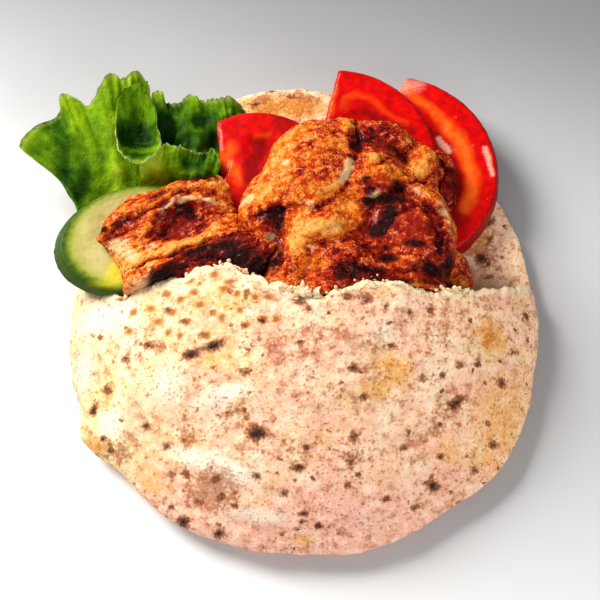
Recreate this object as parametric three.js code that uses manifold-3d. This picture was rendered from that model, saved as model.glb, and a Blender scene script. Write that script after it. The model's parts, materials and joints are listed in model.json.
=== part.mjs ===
// A chicken sandwich: a round pita opened into a pocket, lying on its back.
// Grilled chicken, tomato slices, a cucumber slice and lettuce come out of the torn mouth.
// Millimetres, +Z up, the mouth opens towards +Y.
// The origin is on the resting face, under the pita's centre.

import * as THREE from "three";
import { mergeVertices } from "three/addons/utils/BufferGeometryUtils.js";
import Module from "manifold-3d";

const wasm = await Module();
wasm.setup();

// ---------- driving dimensions ----------

const GAP = 0.35; // clearance left between pieces that touch
const SKY = 95; // higher than any filling

// The chicken inside the pocket, which is hidden and stays plain.
const STUFFING = {
  depth: 8, // how far inside the mouth it starts
  lap: 3, // how far the lumps of meat run into it
  ease: 1.2, // how loosely it fills the pocket
  inset: 3.6, // how far it stays from the closed rim
  splitX: -14, // where the left piece ends and the main one starts
  rightEnd: 60,
};

const PITA = {
  halfWidth: 81.5, // along X
  halfLength: 85, // along Y
  backThick: 5,
  frontThick: 4,
  steepThicker: 0.45, // share by which the front layer takes more height near the rim, where it is steep
  rimLift: 3.2, // how far the rim curls up off the table
  restShare: 0.62, // share of the radius that lies flat on the table
  domeHeight: 37, // how far the filling pushes the front layer up
  domeRoundness: 0.8, // under 1 is puffier at the sides
  seam: 7, // width of the closed rim where the two layers meet
  rimPower: 5, // higher gives a blunter rim
};

// Bulges of the outline: where round the rim in degrees, how far out, and half their width in degrees.
const PITA_BULGES = [
  [-148, 6, 5],
  [-162, 1.4, 10],
  [-122, 1.5, 14],
  [-75, 1.2, 14],
  [-36, 4, 16],
  [8, -1, 12],
  [32, -1.2, 12],
  [95, 1.3, 14],
  [178, -1.4, 16],
];
const BULGE_FADE = 5; // how fast a bulge dies out towards the middle

// How uneven the baked surfaces are, and how broad the unevenness is.
const BAKED = {
  rim: 0.35, // share of the rim's lift
  rimSize: 38,
  blister: 0.5, // on the back layer's inner face
  blisterSize: 14,
  swell: 0.045, // share of the dome's height
  swellSize: 26,
  dimple: 0.02,
  dimpleSize: 12,
  closedEnd: 0.84, // the dome is this much lower at the closed end
};

// How finely each lens of the pita is divided: round the rim, and from pole to pole.
const FACETS = { back: [60, 13], front: [60, 22], pocket: [40, 13], stuffing: [28, 8] };
const OVERLAP = 0.5; // how deep joined layers run into each other

// The torn mouth: a shallow bow across the pita.
// Its tongues and notches are given as centre x, reach in y, half width.
const MOUTH = { middleY: -2.5, endsY: 7, ragged: 1.1, raggedSize: 5 };
const MOUTH_TONGUES = [
  [-26, 8, 12],
  [2, -4.5, 8],
  [25, 2.6, 8],
  [-62, -3, 9],
  [-42, 2.2, 8],
  [46, -2.2, 14],
];

const TOMATO = {
  thick: 7,
  skinSlope: 1.6, // how much wider the lower face is
  bevel: 0.8,
  chambers: 5, // seed chambers round the core
  chamberDepth: 1.2,
  chamberOut: 0.53, // their middles, half widths and half lengths, as shares of the radius
  chamberHalfWidth: 0.16,
  chamberHalfLength: 0.29,
};
// Each tomato slice: the centre of its circle, its radius, the degrees its straight cut faces,
// how far the cut lies from the centre, and the degrees the slice leans about X and Y.
const TOMATO_SLICES = {
  tomato_right: { at: [31.3, 48.6, 13.2], radius: 37, cutFacing: 149, cutAt: 13.1, lean: [-1, 1] },
  tomato_middle: { at: [12.3, 49.6, 20.8], radius: 34.2, cutFacing: 167, cutAt: 7.1, lean: [1, 3] },
  tomato_left: { at: [-16.3, 38.9, 17.5], radius: 30, cutFacing: 185, cutAt: 10.5, lean: [3, -3] },
};

const CUCUMBER = {
  at: [-56, 21, 19.6],
  halfLong: 28,
  halfShort: 20,
  turn: 14, // degrees from X to the long axis
  thick: 5.2,
  bevel: 0.5,
  biasShift: 2.6, // how far the slanting cut shifts one face against the other
  lean: [-5, 5], // degrees about X and Y
};

const LEAF_THICK = 1;

// ---------- seeded smooth noise, from -1 to 1 ----------

function lattice(x, y, z, seed) {
  let h = Math.imul(x, 374761393) + Math.imul(y, 668265263);
  h += Math.imul(z, 2147483647) + Math.imul(seed, 974634777);
  h = Math.imul(h ^ (h >>> 13), 1274126177);
  return ((h ^ (h >>> 16)) >>> 0) / 2147483648 - 1;
}

function noise(x, y, z, size, seed) {
  const cell = [x, y, z].map((c) => Math.floor(c / size));
  const part = [x, y, z].map((c, i) => THREE.MathUtils.smootherstep(c / size - cell[i], 0, 1));
  let sum = 0;
  for (let corner = 0; corner < 8; corner++) {
    const step = [corner & 1, (corner >> 1) & 1, corner >> 2];
    const weight = step.reduce((w, s, i) => w * (s ? part[i] : 1 - part[i]), 1);
    sum += weight * lattice(cell[0] + step[0], cell[1] + step[1], cell[2] + step[2], seed);
  }
  return sum;
}

const bump = (offset, halfWidth) => Math.exp(-((offset / halfWidth) ** 2));

// ---------- meshes to solids and back ----------

function solidOf(geometry) {
  const bare = new THREE.BufferGeometry().setAttribute("position", geometry.getAttribute("position"));
  if (geometry.index) bare.setIndex(geometry.index);
  const merged = mergeVertices(bare, 1e-3);
  return new wasm.Manifold(
    new wasm.Mesh({
      numProp: 3,
      vertProperties: new Float32Array(merged.attributes.position.array),
      triVerts: new Uint32Array(merged.index.array),
    }),
  );
}

function geometryOf(solid) {
  const mesh = solid.getMesh();
  const points = new Float32Array(mesh.numVert * 3);
  for (let i = 0; i < mesh.numVert; i++) {
    points.set(mesh.vertProperties.subarray(i * mesh.numProp, i * mesh.numProp + 3), i * 3);
  }
  return new THREE.BufferGeometry()
    .setAttribute("position", new THREE.BufferAttribute(points, 3))
    .setIndex(new THREE.BufferAttribute(mesh.triVerts, 1));
}

const union = (solids) => solids.reduce((all, next) => all.add(next));
const largestBody = (solid) => solid.decompose().reduce((a, b) => (b.volume() > a.volume() ? b : a));

function moveEachPoint(geometry, move) {
  const position = geometry.getAttribute("position");
  const point = new THREE.Vector3();
  for (let i = 0; i < position.count; i++) {
    move(point.fromBufferAttribute(position, i));
    position.setXYZ(i, point.x, point.y, point.z);
  }
  return geometry;
}

// ---------- the pita ----------

// Where the outline, moved out by grow, would be at this share of the way from the middle to the rim.
function outlinePoint(angle, share, grow) {
  const degrees = THREE.MathUtils.radToDeg(angle);
  const out = PITA_BULGES.reduce((sum, [at, reach, spread]) => {
    const away = THREE.MathUtils.euclideanModulo(degrees - at + 180, 360) - 180;
    return sum + reach * bump(away, spread);
  }, 0);
  const reach = share * (grow + out * share ** BULGE_FADE);
  return [
    Math.cos(angle) * (PITA.halfWidth * share + reach),
    Math.sin(angle) * (PITA.halfLength * share + reach),
  ];
}

// 0 at the pita's middle and 1 near its rim.
const shareOut = (x, y) => Math.min(1, Math.hypot(x / PITA.halfWidth, y / PITA.halfLength));

function rimRound(share) {
  const beyondFlat = Math.max(0, (share - PITA.restShare) / (1 - PITA.restShare));
  return Math.sqrt(Math.max(0, 1 - beyondFlat ** PITA.rimPower));
}

function rimMiddle(x, y) {
  const uneven = 1 + BAKED.rim * noise(x, y, 0, BAKED.rimSize, 11);
  return PITA.backThick / 2 + PITA.rimLift * uneven;
}

function backMiddle(x, y, share) {
  const curl = THREE.MathUtils.smoothstep(share, PITA.restShare, 1.05) ** 1.5;
  return PITA.backThick / 2 + (rimMiddle(x, y) - PITA.backThick / 2) * curl;
}

const backUnder = (x, y, share) => backMiddle(x, y, share) - (PITA.backThick / 2) * rimRound(share);

function backTop(x, y, share) {
  const blister = BAKED.blister * noise(x, y, 3, BAKED.blisterSize, 5) * rimRound(share);
  return backMiddle(x, y, share) + (PITA.backThick / 2) * rimRound(share) + blister;
}

// The outside of the stuffed front layer.
function frontTop(x, y, share) {
  const broad = BAKED.swell * noise(x, y, 7, BAKED.swellSize, 3);
  const dimples = BAKED.dimple * noise(x, y, 9, BAKED.dimpleSize, 4);
  const towardsMouth = THREE.MathUtils.smoothstep(y, -PITA.halfLength, 0);
  const full = PITA.domeHeight * THREE.MathUtils.lerp(BAKED.closedEnd, 1, towardsMouth);
  const swell = full * (1 + broad + dimples);
  return rimMiddle(x, y) + swell * Math.max(0, 1 - share * share) ** PITA.domeRoundness;
}

// The layer is as thick all over, so it takes more height where it is steep.
function frontUnder(x, y) {
  const share = shareOut(x, y);
  const steep = 1 + PITA.steepThicker * share ** 3;
  return frontTop(x, y, share) - PITA.frontThick * steep;
}

// A closed lens over the pita's outline, between two height functions that meet at its rim.
function lens([segments, rings], grow, lowAt, highAt) {
  const sphere = new THREE.SphereGeometry(1, segments, rings).rotateX(Math.PI / 2);
  return solidOf(
    moveEachPoint(sphere, (point) => {
      const share = Math.min(1, Math.hypot(point.x, point.y));
      const [x, y] = outlinePoint(Math.atan2(point.y, point.x), share, grow);
      const heightAt = point.z < 0 ? lowAt : highAt;
      point.set(x, y, heightAt(x, y, share));
    }),
  );
}

function mouthY(x) {
  const bow = MOUTH.middleY + (MOUTH.endsY - MOUTH.middleY) * (x / PITA.halfWidth) ** 2;
  const tongues = MOUTH_TONGUES.reduce((sum, [at, reach, width]) => sum + reach * bump(x - at, width), 0);
  return bow + tongues + MOUTH.ragged * noise(x, 0, 0, MOUTH.raggedSize, 21);
}

// Everything on the pocket's side of the mouth, or on the open side, as a tall prism with a torn edge.
function mouthPrism(side, shift) {
  const reach = 130;
  const step = 2;
  const outline = [];
  for (let x = -reach; x <= reach; x += step) outline.push(new THREE.Vector2(x, mouthY(x) + shift));
  const far = side === "open" ? reach : -reach;
  outline.push(new THREE.Vector2(reach, far), new THREE.Vector2(-reach, far));
  const prism = new THREE.ExtrudeGeometry(new THREE.Shape(outline), { depth: SKY + 10, bevelEnabled: false });
  return solidOf(prism.translate(0, 0, -10));
}

// The hollow between the two layers, made smaller all round by shrink. Its floor runs inside the back layer.
function pocket(shrink) {
  return lens(
    FACETS.pocket,
    -PITA.seam - shrink,
    (x, y) => backMiddle(x, y, shareOut(x, y)) + OVERLAP,
    (x, y) => frontUnder(x, y) - shrink,
  );
}

function backLayer(grow) {
  return lens(
    FACETS.back,
    grow,
    (x, y, share) => backUnder(x, y, share) - grow,
    (x, y, share) => backTop(x, y, share) + grow,
  );
}

function pita(grow) {
  const stuffed = lens(
    FACETS.front,
    grow,
    (x, y, share) => backMiddle(x, y, share) - OVERLAP,
    (x, y, share) => frontTop(x, y, share) + grow,
  );
  const front = stuffed.intersect(mouthPrism("pocket", grow)).subtract(pocket(grow));
  return largestBody(backLayer(grow).add(front));
}

// ---------- chicken ----------

// Lumps of meat: centre, half sizes, degrees turned about Z and leaned about X. They melt into each other.
const CHICKEN = {
  foldSize: 12, // how broad the folds are
  ridgeSize: 7, // and the crags
  ridgeShare: 0.6, // how strong the crags are beside the folds
  hollowMelt: 2.5,
  joinDepth: 0.3, // how far inside the meat a joined place counts as being
  tallCells: 1.25, // the sides need less detail than the top
};

const CHICKEN_MAIN = {
  melt: 3,
  crag: 0.9,
  cell: 3.65,
  seed: 31,
  lumps: [
    { at: [4, 43, 31], half: [16, 18, 12], turn: -24, lean: -10 }, // the broad flap, upper part
    { at: [-7, 29, 29.5], half: [13.5, 18, 12], turn: -28, lean: -4 }, // and its lower part
    { at: [15, 54, 27.5], half: [9, 8.5, 9] }, // top edge between the flap and the dark lobe
    { at: [27, 54.5, 26], half: [12, 8, 8], turn: -18 }, // dark lobe at the top
    { at: [39, 46, 24], half: [10.5, 8.5, 9], turn: -20 }, // lobe behind the round one
    { at: [22, 38, 30], half: [14, 13, 12], turn: -16 }, // between the flap and the round lobe
    { at: [37, 21, 27], half: [14.5, 20, 14], turn: 16, lean: 4 }, // round lobe at the right
    { at: [5, 20, 31.5], half: [13, 8, 12], turn: 16 }, // lumps in the middle
    { at: [-3, 7, 31], half: [11, 9, 11.5], turn: 35 },
    { at: [14, 7, 31], half: [12, 9, 12], turn: -12 },
    { at: [31, 2, 27], half: [17, 11, 12.5], turn: -6 },
    { at: [20, 16, 23], half: [25, 24, 14] }, // the body under them
    { at: [14, -6, 29], half: [36, 11, 14] }, // runs on into the pocket
    { at: [53, 9, 15], half: [5, 12, 7], turn: 14 }, // scrap in the right corner
  ],
  hollows: [
    { at: [14.5, 41, 45], half: [2.4, 9, 5], turn: -24 }, // crease with the fat in it
    { at: [24, 24, 43], half: [4, 9, 4], turn: -16 }, // charred dip beside the round lobe
    { at: [33, 15, 43], half: [8, 2.6, 3.5], turn: -10 },
  ],
};

const CHICKEN_LEFT = {
  melt: 3.5,
  crag: 0.9,
  cell: 3.7,
  seed: 51,
  lumps: [
    { at: [-47.5, 28.8, 26], half: [25.5, 9.5, 8], turn: 25, lean: -14 }, // upper ridge
    { at: [-36.5, 10, 27], half: [26, 9, 9.5], turn: 17, lean: 10 }, // lower ridge
    { at: [-42, 19, 23.5], half: [24, 14, 8], turn: 20 }, // the valley between them
    { at: [-16, 10, 28], half: [13, 11, 11], turn: 24 }, // charred end
    { at: [-38, -6, 23], half: [27, 13, 12], turn: 10 }, // runs on into the pocket
  ],
  hollows: [{ at: [-42, 22, 34], half: [8, 5, 6], turn: 25 }],
};

const CHICKEN_BACK = {
  melt: 3,
  crag: 0.8,
  cell: 3.2,
  seed: 61,
  lumps: [
    { at: [44.5, 46.5, 21], half: [8.5, 8, 6.5], turn: -30 },
    { at: [46.5, 38, 20], half: [6.5, 9, 6], turn: -10 },
  ],
  hollows: [],
};

// About how far a place is outside an ellipsoid, less than zero inside.
function lumpDistance({ at, half, turn = 0, lean = 0 }) {
  const spin = new THREE.Euler(THREE.MathUtils.degToRad(lean), 0, THREE.MathUtils.degToRad(turn), "ZXY");
  const back = new THREE.Quaternion().setFromEuler(spin).invert();
  const centre = new THREE.Vector3(...at);
  const size = new THREE.Vector3(...half);
  return (place) => {
    const scaled = place.clone().sub(centre).applyQuaternion(back).divide(size);
    const reach = scaled.length();
    return (reach * (reach - 1)) / Math.max(1e-6, scaled.divide(size).length());
  };
}

function melted(a, b, width) {
  const share = Math.max(0, width - Math.abs(a - b)) / width;
  return Math.min(a, b) - (share * share * width) / 4;
}

// The meat's surface field: melted lumps, less the hollows, with folds and crags.
function meatField({ melt, crag, seed, lumps, hollows }) {
  const outside = lumps.map(lumpDistance);
  const hollow = hollows.map(lumpDistance);
  return (place) => {
    const body = outside.reduce((least, distance) => melted(least, distance(place), melt), 1e3);
    const carve = (most, distance) => -melted(-most, distance(place), CHICKEN.hollowMelt);
    const folds = noise(place.x, place.y, place.z, CHICKEN.foldSize, seed);
    const ridges = 1 - 2 * Math.abs(noise(place.x, place.y, place.z, CHICKEN.ridgeSize, seed + 1));
    return hollow.reduce(carve, body) - crag * (folds + CHICKEN.ridgeShare * ridges);
  };
}

const GRID_STEPS = [[1, 0, 0], [0, 1, 0], [0, 0, 1]];

// Where the meat would touch itself along a single grid edge, it is grown together.
// The answer is true if anything was joined.
function joinPinches(values, indexOf, places) {
  let joined = false;
  for (const [i, j, k] of places) {
    for (let axis = 0; axis < 3; axis++) {
      const [u, v] = [GRID_STEPS[(axis + 1) % 3], GRID_STEPS[(axis + 2) % 3]];
      const cornerAt = (a, b) =>
        indexOf(i + a * u[0] + b * v[0], j + a * u[1] + b * v[1], k + a * u[2] + b * v[2]);
      const ring = [cornerAt(0, 0), cornerAt(1, 0), cornerAt(1, 1), cornerAt(0, 1)];
      const inside = ring.map((n) => values[n] < 0);
      if (inside[0] !== inside[2] || inside[1] !== inside[3] || inside[0] === inside[1]) continue;
      const [one, other] = ring.filter((n) => values[n] >= 0);
      values[values[one] < values[other] ? one : other] = -CHICKEN.joinDepth;
      joined = true;
    }
  }
  return joined;
}

// A closed surface round the places where the field is under zero: one point to each crossed cell of a grid.
function surfaceNet(field, low, high, cell) {
  const step = new THREE.Vector3(cell, cell, cell * CHICKEN.tallCells);
  const count = high.clone().sub(low).divide(step).ceil().addScalar(1);
  const index = (i, j, k) => (k * count.y + j) * count.x + i;
  const placeOf = (i, j, k) => new THREE.Vector3(i, j, k).multiply(step).add(low);
  const values = new Float32Array(count.x * count.y * count.z);
  const forAll = (lastX, lastY, lastZ, visit) => {
    for (let k = 0; k < lastZ; k++) {
      for (let j = 0; j < lastY; j++) {
        for (let i = 0; i < lastX; i++) visit(i, j, k);
      }
    }
  };
  forAll(count.x, count.y, count.z, (i, j, k) => {
    values[index(i, j, k)] = field(placeOf(i, j, k));
  });
  const cells = [];
  forAll(count.x - 1, count.y - 1, count.z - 1, (...cellPlace) => cells.push(cellPlace));
  while (joinPinches(values, index, cells));
  const corners = [...Array(8).keys()].map((c) => [c & 1, (c >> 1) & 1, c >> 2]);
  const points = [];
  const pointOf = new Map();
  for (const [i, j, k] of cells) {
    const middle = new THREE.Vector3();
    let crossings = 0;
    for (let a = 0; a < 8; a++) {
      for (const bit of [1, 2, 4].filter((one) => !(a & one))) {
        const [from, to] = [corners[a], corners[a | bit]].map(([x, y, z]) => [i + x, j + y, k + z]);
        const [before, after] = [values[index(...from)], values[index(...to)]];
        if (before < 0 === after < 0) continue;
        middle.add(placeOf(...from).lerp(placeOf(...to), before / (before - after)));
        crossings++;
      }
    }
    if (!crossings) continue;
    pointOf.set(index(i, j, k), points.length / 3);
    points.push(...middle.divideScalar(crossings).toArray());
  }
  const faces = [];
  for (const [i, j, k] of cells) {
    for (let axis = 0; axis < 3; axis++) {
      const [x, y, z] = GRID_STEPS[axis];
      const [inHere, inNext] = [values[index(i, j, k)] < 0, values[index(i + x, j + y, k + z)] < 0];
      if (inHere === inNext) continue;
      const [u, v] = [GRID_STEPS[(axis + 1) % 3], GRID_STEPS[(axis + 2) % 3]];
      const cellAt = (a, b) =>
        pointOf.get(index(i - a * u[0] - b * v[0], j - a * u[1] - b * v[1], k - a * u[2] - b * v[2]));
      const ring = [cellAt(0, 0), cellAt(1, 0), cellAt(1, 1), cellAt(0, 1)];
      if (!inHere) ring.reverse();
      faces.push(ring[0], ring[1], ring[2], ring[0], ring[2], ring[3]);
    }
  }
  const geometry = new THREE.BufferGeometry();
  return geometry.setAttribute("position", new THREE.Float32BufferAttribute(points, 3)).setIndex(faces);
}

function chicken(piece, grow) {
  const field = meatField(piece);
  const margin = 3 * piece.cell;
  const box = new THREE.Box3();
  for (const { at, half } of piece.lumps) {
    const reach = new THREE.Vector3().setScalar(Math.max(...half) + margin);
    const centre = new THREE.Vector3(...at);
    box.union(new THREE.Box3(centre.clone().sub(reach), centre.add(reach)));
  }
  return solidOf(surfaceNet((place) => field(place) - grow, box.min, box.max, piece.cell));
}

// What fills the pocket on one side of a line between the two big pieces of chicken.
function stuffing(side) {
  const { ease, inset, splitX, rightEnd } = STUFFING;
  const [from, to] = side === "left" ? [-PITA.halfWidth, splitX - GAP] : [splitX, rightEnd];
  const box = new THREE.BoxGeometry(to - from, 2 * PITA.halfLength, SKY);
  box.translate((from + to) / 2, 0, SKY / 2);
  const filling = lens(
    FACETS.stuffing,
    -PITA.seam - inset,
    (x, y) => backMiddle(x, y, shareOut(x, y)) + PITA.backThick / 2 + ease,
    (x, y) => frontUnder(x, y) - ease,
  );
  return filling.intersect(solidOf(box)).intersect(mouthPrism("pocket", -STUFFING.depth));
}

// ---------- tomato ----------

const leaned = (geometry, [aboutX, aboutY], at) =>
  geometry
    .rotateX(THREE.MathUtils.degToRad(aboutX))
    .rotateY(THREE.MathUtils.degToRad(aboutY))
    .translate(...at);

// Part of a round slice, cut straight across. Its skin slopes, as near the end of the fruit.
function tomatoSlice({ at, radius, cutFacing, cutAt, lean }, grow) {
  const size = radius + grow - TOMATO.bevel;
  const halfCut = Math.acos((cutAt + grow) / size);
  const facing = THREE.MathUtils.degToRad(cutFacing);
  const end = facing - halfCut + 2 * Math.PI;
  const outline = new THREE.Shape().absarc(0, 0, size, facing + halfCut, end, false);
  const height = TOMATO.thick + 2 * grow;
  const slab = new THREE.ExtrudeGeometry(outline, {
    depth: height - 2 * TOMATO.bevel,
    bevelSize: TOMATO.bevel,
    bevelThickness: TOMATO.bevel,
    bevelSegments: 1,
    curveSegments: 20,
  });
  slab.translate(0, 0, TOMATO.bevel - height / 2);
  moveEachPoint(slab, (point) => {
    const fromCentre = Math.hypot(point.x, point.y);
    if (fromCentre < 1) return;
    const slope = (TOMATO.skinSlope * point.z) / height;
    point.multiply(new THREE.Vector3(1 - slope / fromCentre, 1 - slope / fromCentre, 1));
  });
  return solidOf(leaned(slab, lean, at));
}

// The seed chambers: shallow hollows in the upper face, as bent beans round the core.
function seedChambers({ at, radius, cutFacing, lean }) {
  const wide = radius * TOMATO.chamberHalfWidth;
  const long = radius * TOMATO.chamberHalfLength;
  const out = radius * TOMATO.chamberOut;
  const chambers = [];
  for (let i = 0; i < TOMATO.chambers; i++) {
    const angle = THREE.MathUtils.degToRad(cutFacing) + ((i + 0.5) / TOMATO.chambers) * 2 * Math.PI;
    const bean = new THREE.SphereGeometry(1, 8, 4).scale(wide, long, TOMATO.chamberDepth).rotateZ(angle);
    bean.translate(Math.cos(angle) * out, Math.sin(angle) * out, TOMATO.thick / 2);
    chambers.push(solidOf(leaned(bean, lean, at)));
  }
  return union(chambers);
}

// ---------- cucumber ----------

function cucumberSlice(grow) {
  const bevel = CUCUMBER.bevel;
  const outline = new THREE.Shape().absellipse(
    0,
    0,
    CUCUMBER.halfLong + grow - bevel,
    CUCUMBER.halfShort + grow - bevel,
    0,
    2 * Math.PI,
    false,
    0,
  );
  const height = CUCUMBER.thick + 2 * grow;
  const slab = new THREE.ExtrudeGeometry(outline, {
    depth: height - 2 * bevel,
    bevelSize: bevel,
    bevelThickness: bevel,
    bevelSegments: 1,
    curveSegments: 20,
  });
  slab.translate(0, 0, bevel - height / 2);
  moveEachPoint(slab, (point) => point.setX(point.x + (CUCUMBER.biasShift * point.z) / height));
  slab.rotateZ(THREE.MathUtils.degToRad(CUCUMBER.turn));
  return solidOf(leaned(slab, CUCUMBER.lean, CUCUMBER.at));
}

// ---------- lettuce ----------

// Each leaf runs from a line in the sandwich to its frilled margin. Points are x, y, z.
const LEAVES = {
  lettuce_fan: {
    base: [[-77, 31, 10.5], [-68, 29, 9.5], [-59, 30, 9], [-50, 33, 9]],
    margin: [
      [-78.5, 36.5, 13], [-86.3, 47.3, 16], [-98, 56.3, 19], [-93.5, 61, 23], [-85, 68, 21], [-84, 73.5, 24],
      [-78, 71.5, 20], [-74.5, 68, 19], [-71, 75.5, 24], [-67, 82, 25], [-62.5, 79.5, 21], [-58.5, 83.5, 22],
      [-54, 79, 19],
    ],
    across: 21, along: 5, bow: 2.5, seed: 71,
  },
  lettuce_back: {
    base: [[-50, 36, 8.5], [-42, 36, 8.5], [-34, 36, 8.5], [-26, 38, 8.5]],
    margin: [
      [-55, 75, 14], [-51, 78.5, 17], [-48, 75, 14], [-44, 74, 16], [-40, 76, 19], [-35, 75.2, 15],
      [-31, 74.8, 18], [-26.5, 75, 19], [-20.5, 71.5, 15], [-18, 65, 13],
    ],
    across: 16, along: 5, bow: 3, seed: 73,
  },
  lettuce_cup: {
    base: [[-57, 63, 22], [-57.5, 60, 21.5], [-57, 57, 21.5], [-56, 55, 21.5]],
    margin: [
      [-54, 78, 25], [-58, 77, 26], [-62.5, 73, 27], [-64, 65, 27.5], [-63.5, 54, 28], [-61, 48.5, 28.5],
      [-56, 46, 29], [-51.5, 48, 28.5], [-49, 54, 27], [-50.5, 62, 25], [-52, 70, 24],
    ],
    across: 15, along: 4, bow: -2, seed: 75,
  },
  lettuce_ruffle: {
    base: [[-56, 38, 16], [-47, 39, 15], [-38, 40, 14], [-31, 41, 14]],
    margin: [
      [-56, 47, 23], [-51, 52, 25], [-47.5, 55, 23], [-43, 53.5, 25], [-40, 53.5, 23], [-37, 51.5, 24],
      [-33.5, 52.5, 22], [-31, 53, 24], [-28.5, 47, 22],
    ],
    across: 16, along: 4, bow: 2, seed: 77,
  },
};

const FRILL_SHARE = 3; // higher keeps the frills nearer the margin
const CALM_EVERY = 4; // the leaf's body follows every fourth point of the margin
const CRINKLE = { height: 1.2, size: 9 };

const curveThrough = (points) => new THREE.CatmullRomCurve3(points.map((p) => new THREE.Vector3(...p)));

// The leaf's body runs to a calm line through some points of the margin. The frills join in near the edge.
function leafLines(leaf) {
  const calm = leaf.margin.filter((_, i) => i % CALM_EVERY === 0 || i === leaf.margin.length - 1);
  return { base: curveThrough(leaf.base), calm: curveThrough(calm), margin: curveThrough(leaf.margin) };
}

function leafPoint(leaf, lines, u, v) {
  const calm = lines.calm.getPoint(v);
  const frill = lines.margin.getPoint(v).sub(calm);
  const point = lines.base.getPoint(v).lerp(calm, u).addScaledVector(frill, u ** FRILL_SHARE);
  const crinkle = CRINKLE.height * noise(point.x, point.y, 0, CRINKLE.size, leaf.seed);
  point.z += (leaf.bow + crinkle) * Math.sin(Math.PI * u);
  return point;
}

// A thin wavy solid whose two faces are split into triangles alike.
function lettuceLeaf(leaf, grow) {
  const lines = leafLines(leaf);
  const [columns, rows] = [leaf.across + 1, leaf.along + 1];
  const half = LEAF_THICK / 2 + grow;
  const points = [];
  for (const side of [1, -1]) {
    for (let row = 0; row < rows; row++) {
      for (let column = 0; column < columns; column++) {
        const [u, v] = [row / leaf.along, column / leaf.across];
        const middle = leafPoint(leaf, lines, u, v);
        const step = 0.02;
        const alongU = leafPoint(leaf, lines, Math.min(1, u + step), v).sub(
          leafPoint(leaf, lines, Math.max(0, u - step), v),
        );
        const alongV = leafPoint(leaf, lines, u, Math.min(1, v + step)).sub(
          leafPoint(leaf, lines, u, Math.max(0, v - step)),
        );
        const rowSide = row === 0 ? -1 : Number(row === leaf.along);
        const columnSide = column === 0 ? -1 : Number(column === leaf.across);
        middle.addScaledVector(alongU.normalize(), rowSide * grow);
        middle.addScaledVector(alongV.normalize(), columnSide * grow);
        middle.addScaledVector(alongV.cross(alongU).normalize(), side * half);
        points.push(middle.x, middle.y, middle.z);
      }
    }
  }
  const sheet = rows * columns;
  const faces = [];
  const quad = (a, b, c, d) => faces.push(a, b, c, a, c, d);
  for (let row = 0; row < rows - 1; row++) {
    for (let column = 0; column < columns - 1; column++) {
      const a = row * columns + column;
      faces.push(a, a + 1, a + columns, a + 1, a + columns + 1, a + columns);
      const b = a + sheet;
      faces.push(b, b + columns, b + 1, b + 1, b + columns, b + columns + 1);
    }
  }
  const last = (rows - 1) * columns;
  for (let column = 0; column < columns - 1; column++) {
    quad(column + 1, column, column + sheet, column + 1 + sheet);
    quad(last + column, last + column + 1, last + column + 1 + sheet, last + column + sheet);
  }
  for (let row = 0; row < rows - 1; row++) {
    const near = row * columns;
    const far = near + columns - 1;
    quad(near, near + columns, near + columns + sheet, near + sheet);
    quad(far + columns, far, far + sheet, far + columns + sheet);
  }
  const geometry = new THREE.BufferGeometry();
  geometry.setAttribute("position", new THREE.Float32BufferAttribute(points, 3)).setIndex(faces);
  return solidOf(geometry);
}

// ---------- fitting the pieces to each other ----------

// Firm slices keep their form, and the chicken and the leaves give way to them.
// Everything gives way to the bread.
function buildPieces() {
  const pieces = { pita_bread: pita(0) };
  const placed = [];
  const place = (name, solid, grown, bread = pita(GAP)) => {
    const clear = [bread, ...placed].reduce((left, other) => left.subtract(other), solid);
    pieces[name] = largestBody(clear);
    placed.push(grown);
  };
  for (const [name, slice] of Object.entries(TOMATO_SLICES)) {
    place(name, tomatoSlice(slice, 0).subtract(seedChambers(slice)), tomatoSlice(slice, GAP));
  }
  place("cucumber_slice", cucumberSlice(0), cucumberSlice(GAP));
  for (const [name, leaf] of Object.entries(LEAVES)) {
    place(name, lettuceLeaf(leaf, 0), lettuceLeaf(leaf, GAP));
  }

  const inReach = mouthPrism("open", -STUFFING.depth - STUFFING.lap);
  const room = pocket(GAP).add(mouthPrism("open", GAP)).intersect(inReach);
  const back = backLayer(GAP);
  const main = chicken(CHICKEN_MAIN, 0).intersect(room).add(stuffing("right"));
  place("chicken_main", main, chicken(CHICKEN_MAIN, GAP), back);
  place("chicken_back", chicken(CHICKEN_BACK, 0), chicken(CHICKEN_BACK, GAP), back);
  const left = chicken(CHICKEN_LEFT, 0).intersect(room).add(stuffing("left"));
  place("chicken_left", left, chicken(CHICKEN_LEFT, GAP), back);
  return pieces;
}

// ---------- finishes ----------

const finish = (color, roughness) => new THREE.MeshStandardMaterial({ color, roughness, metalness: 0 });

const FINISHES = {
  pita: finish(0xe9cfae, 0.85),
  chicken: finish(0xb35a1e, 0.5),
  tomato: finish(0xd21f12, 0.25),
  cucumber: finish(0xc4cf86, 0.35),
  lettuce: finish(0x5f9a24, 0.45),
};

const sandwich = new THREE.Group();
for (const [name, solid] of Object.entries(buildPieces())) {
  const mesh = new THREE.Mesh(geometryOf(solid), FINISHES[name.split("_")[0]].clone());
  mesh.name = name;
  sandwich.add(mesh);
}

export default sandwich;
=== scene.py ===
"""A chicken sandwich: a pita opened into a pocket, with grilled chicken, tomato, cucumber and lettuce."""

import json
import math

import bpy
import numpy as np
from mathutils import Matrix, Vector
from mathutils.bvhtree import BVHTree

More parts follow.
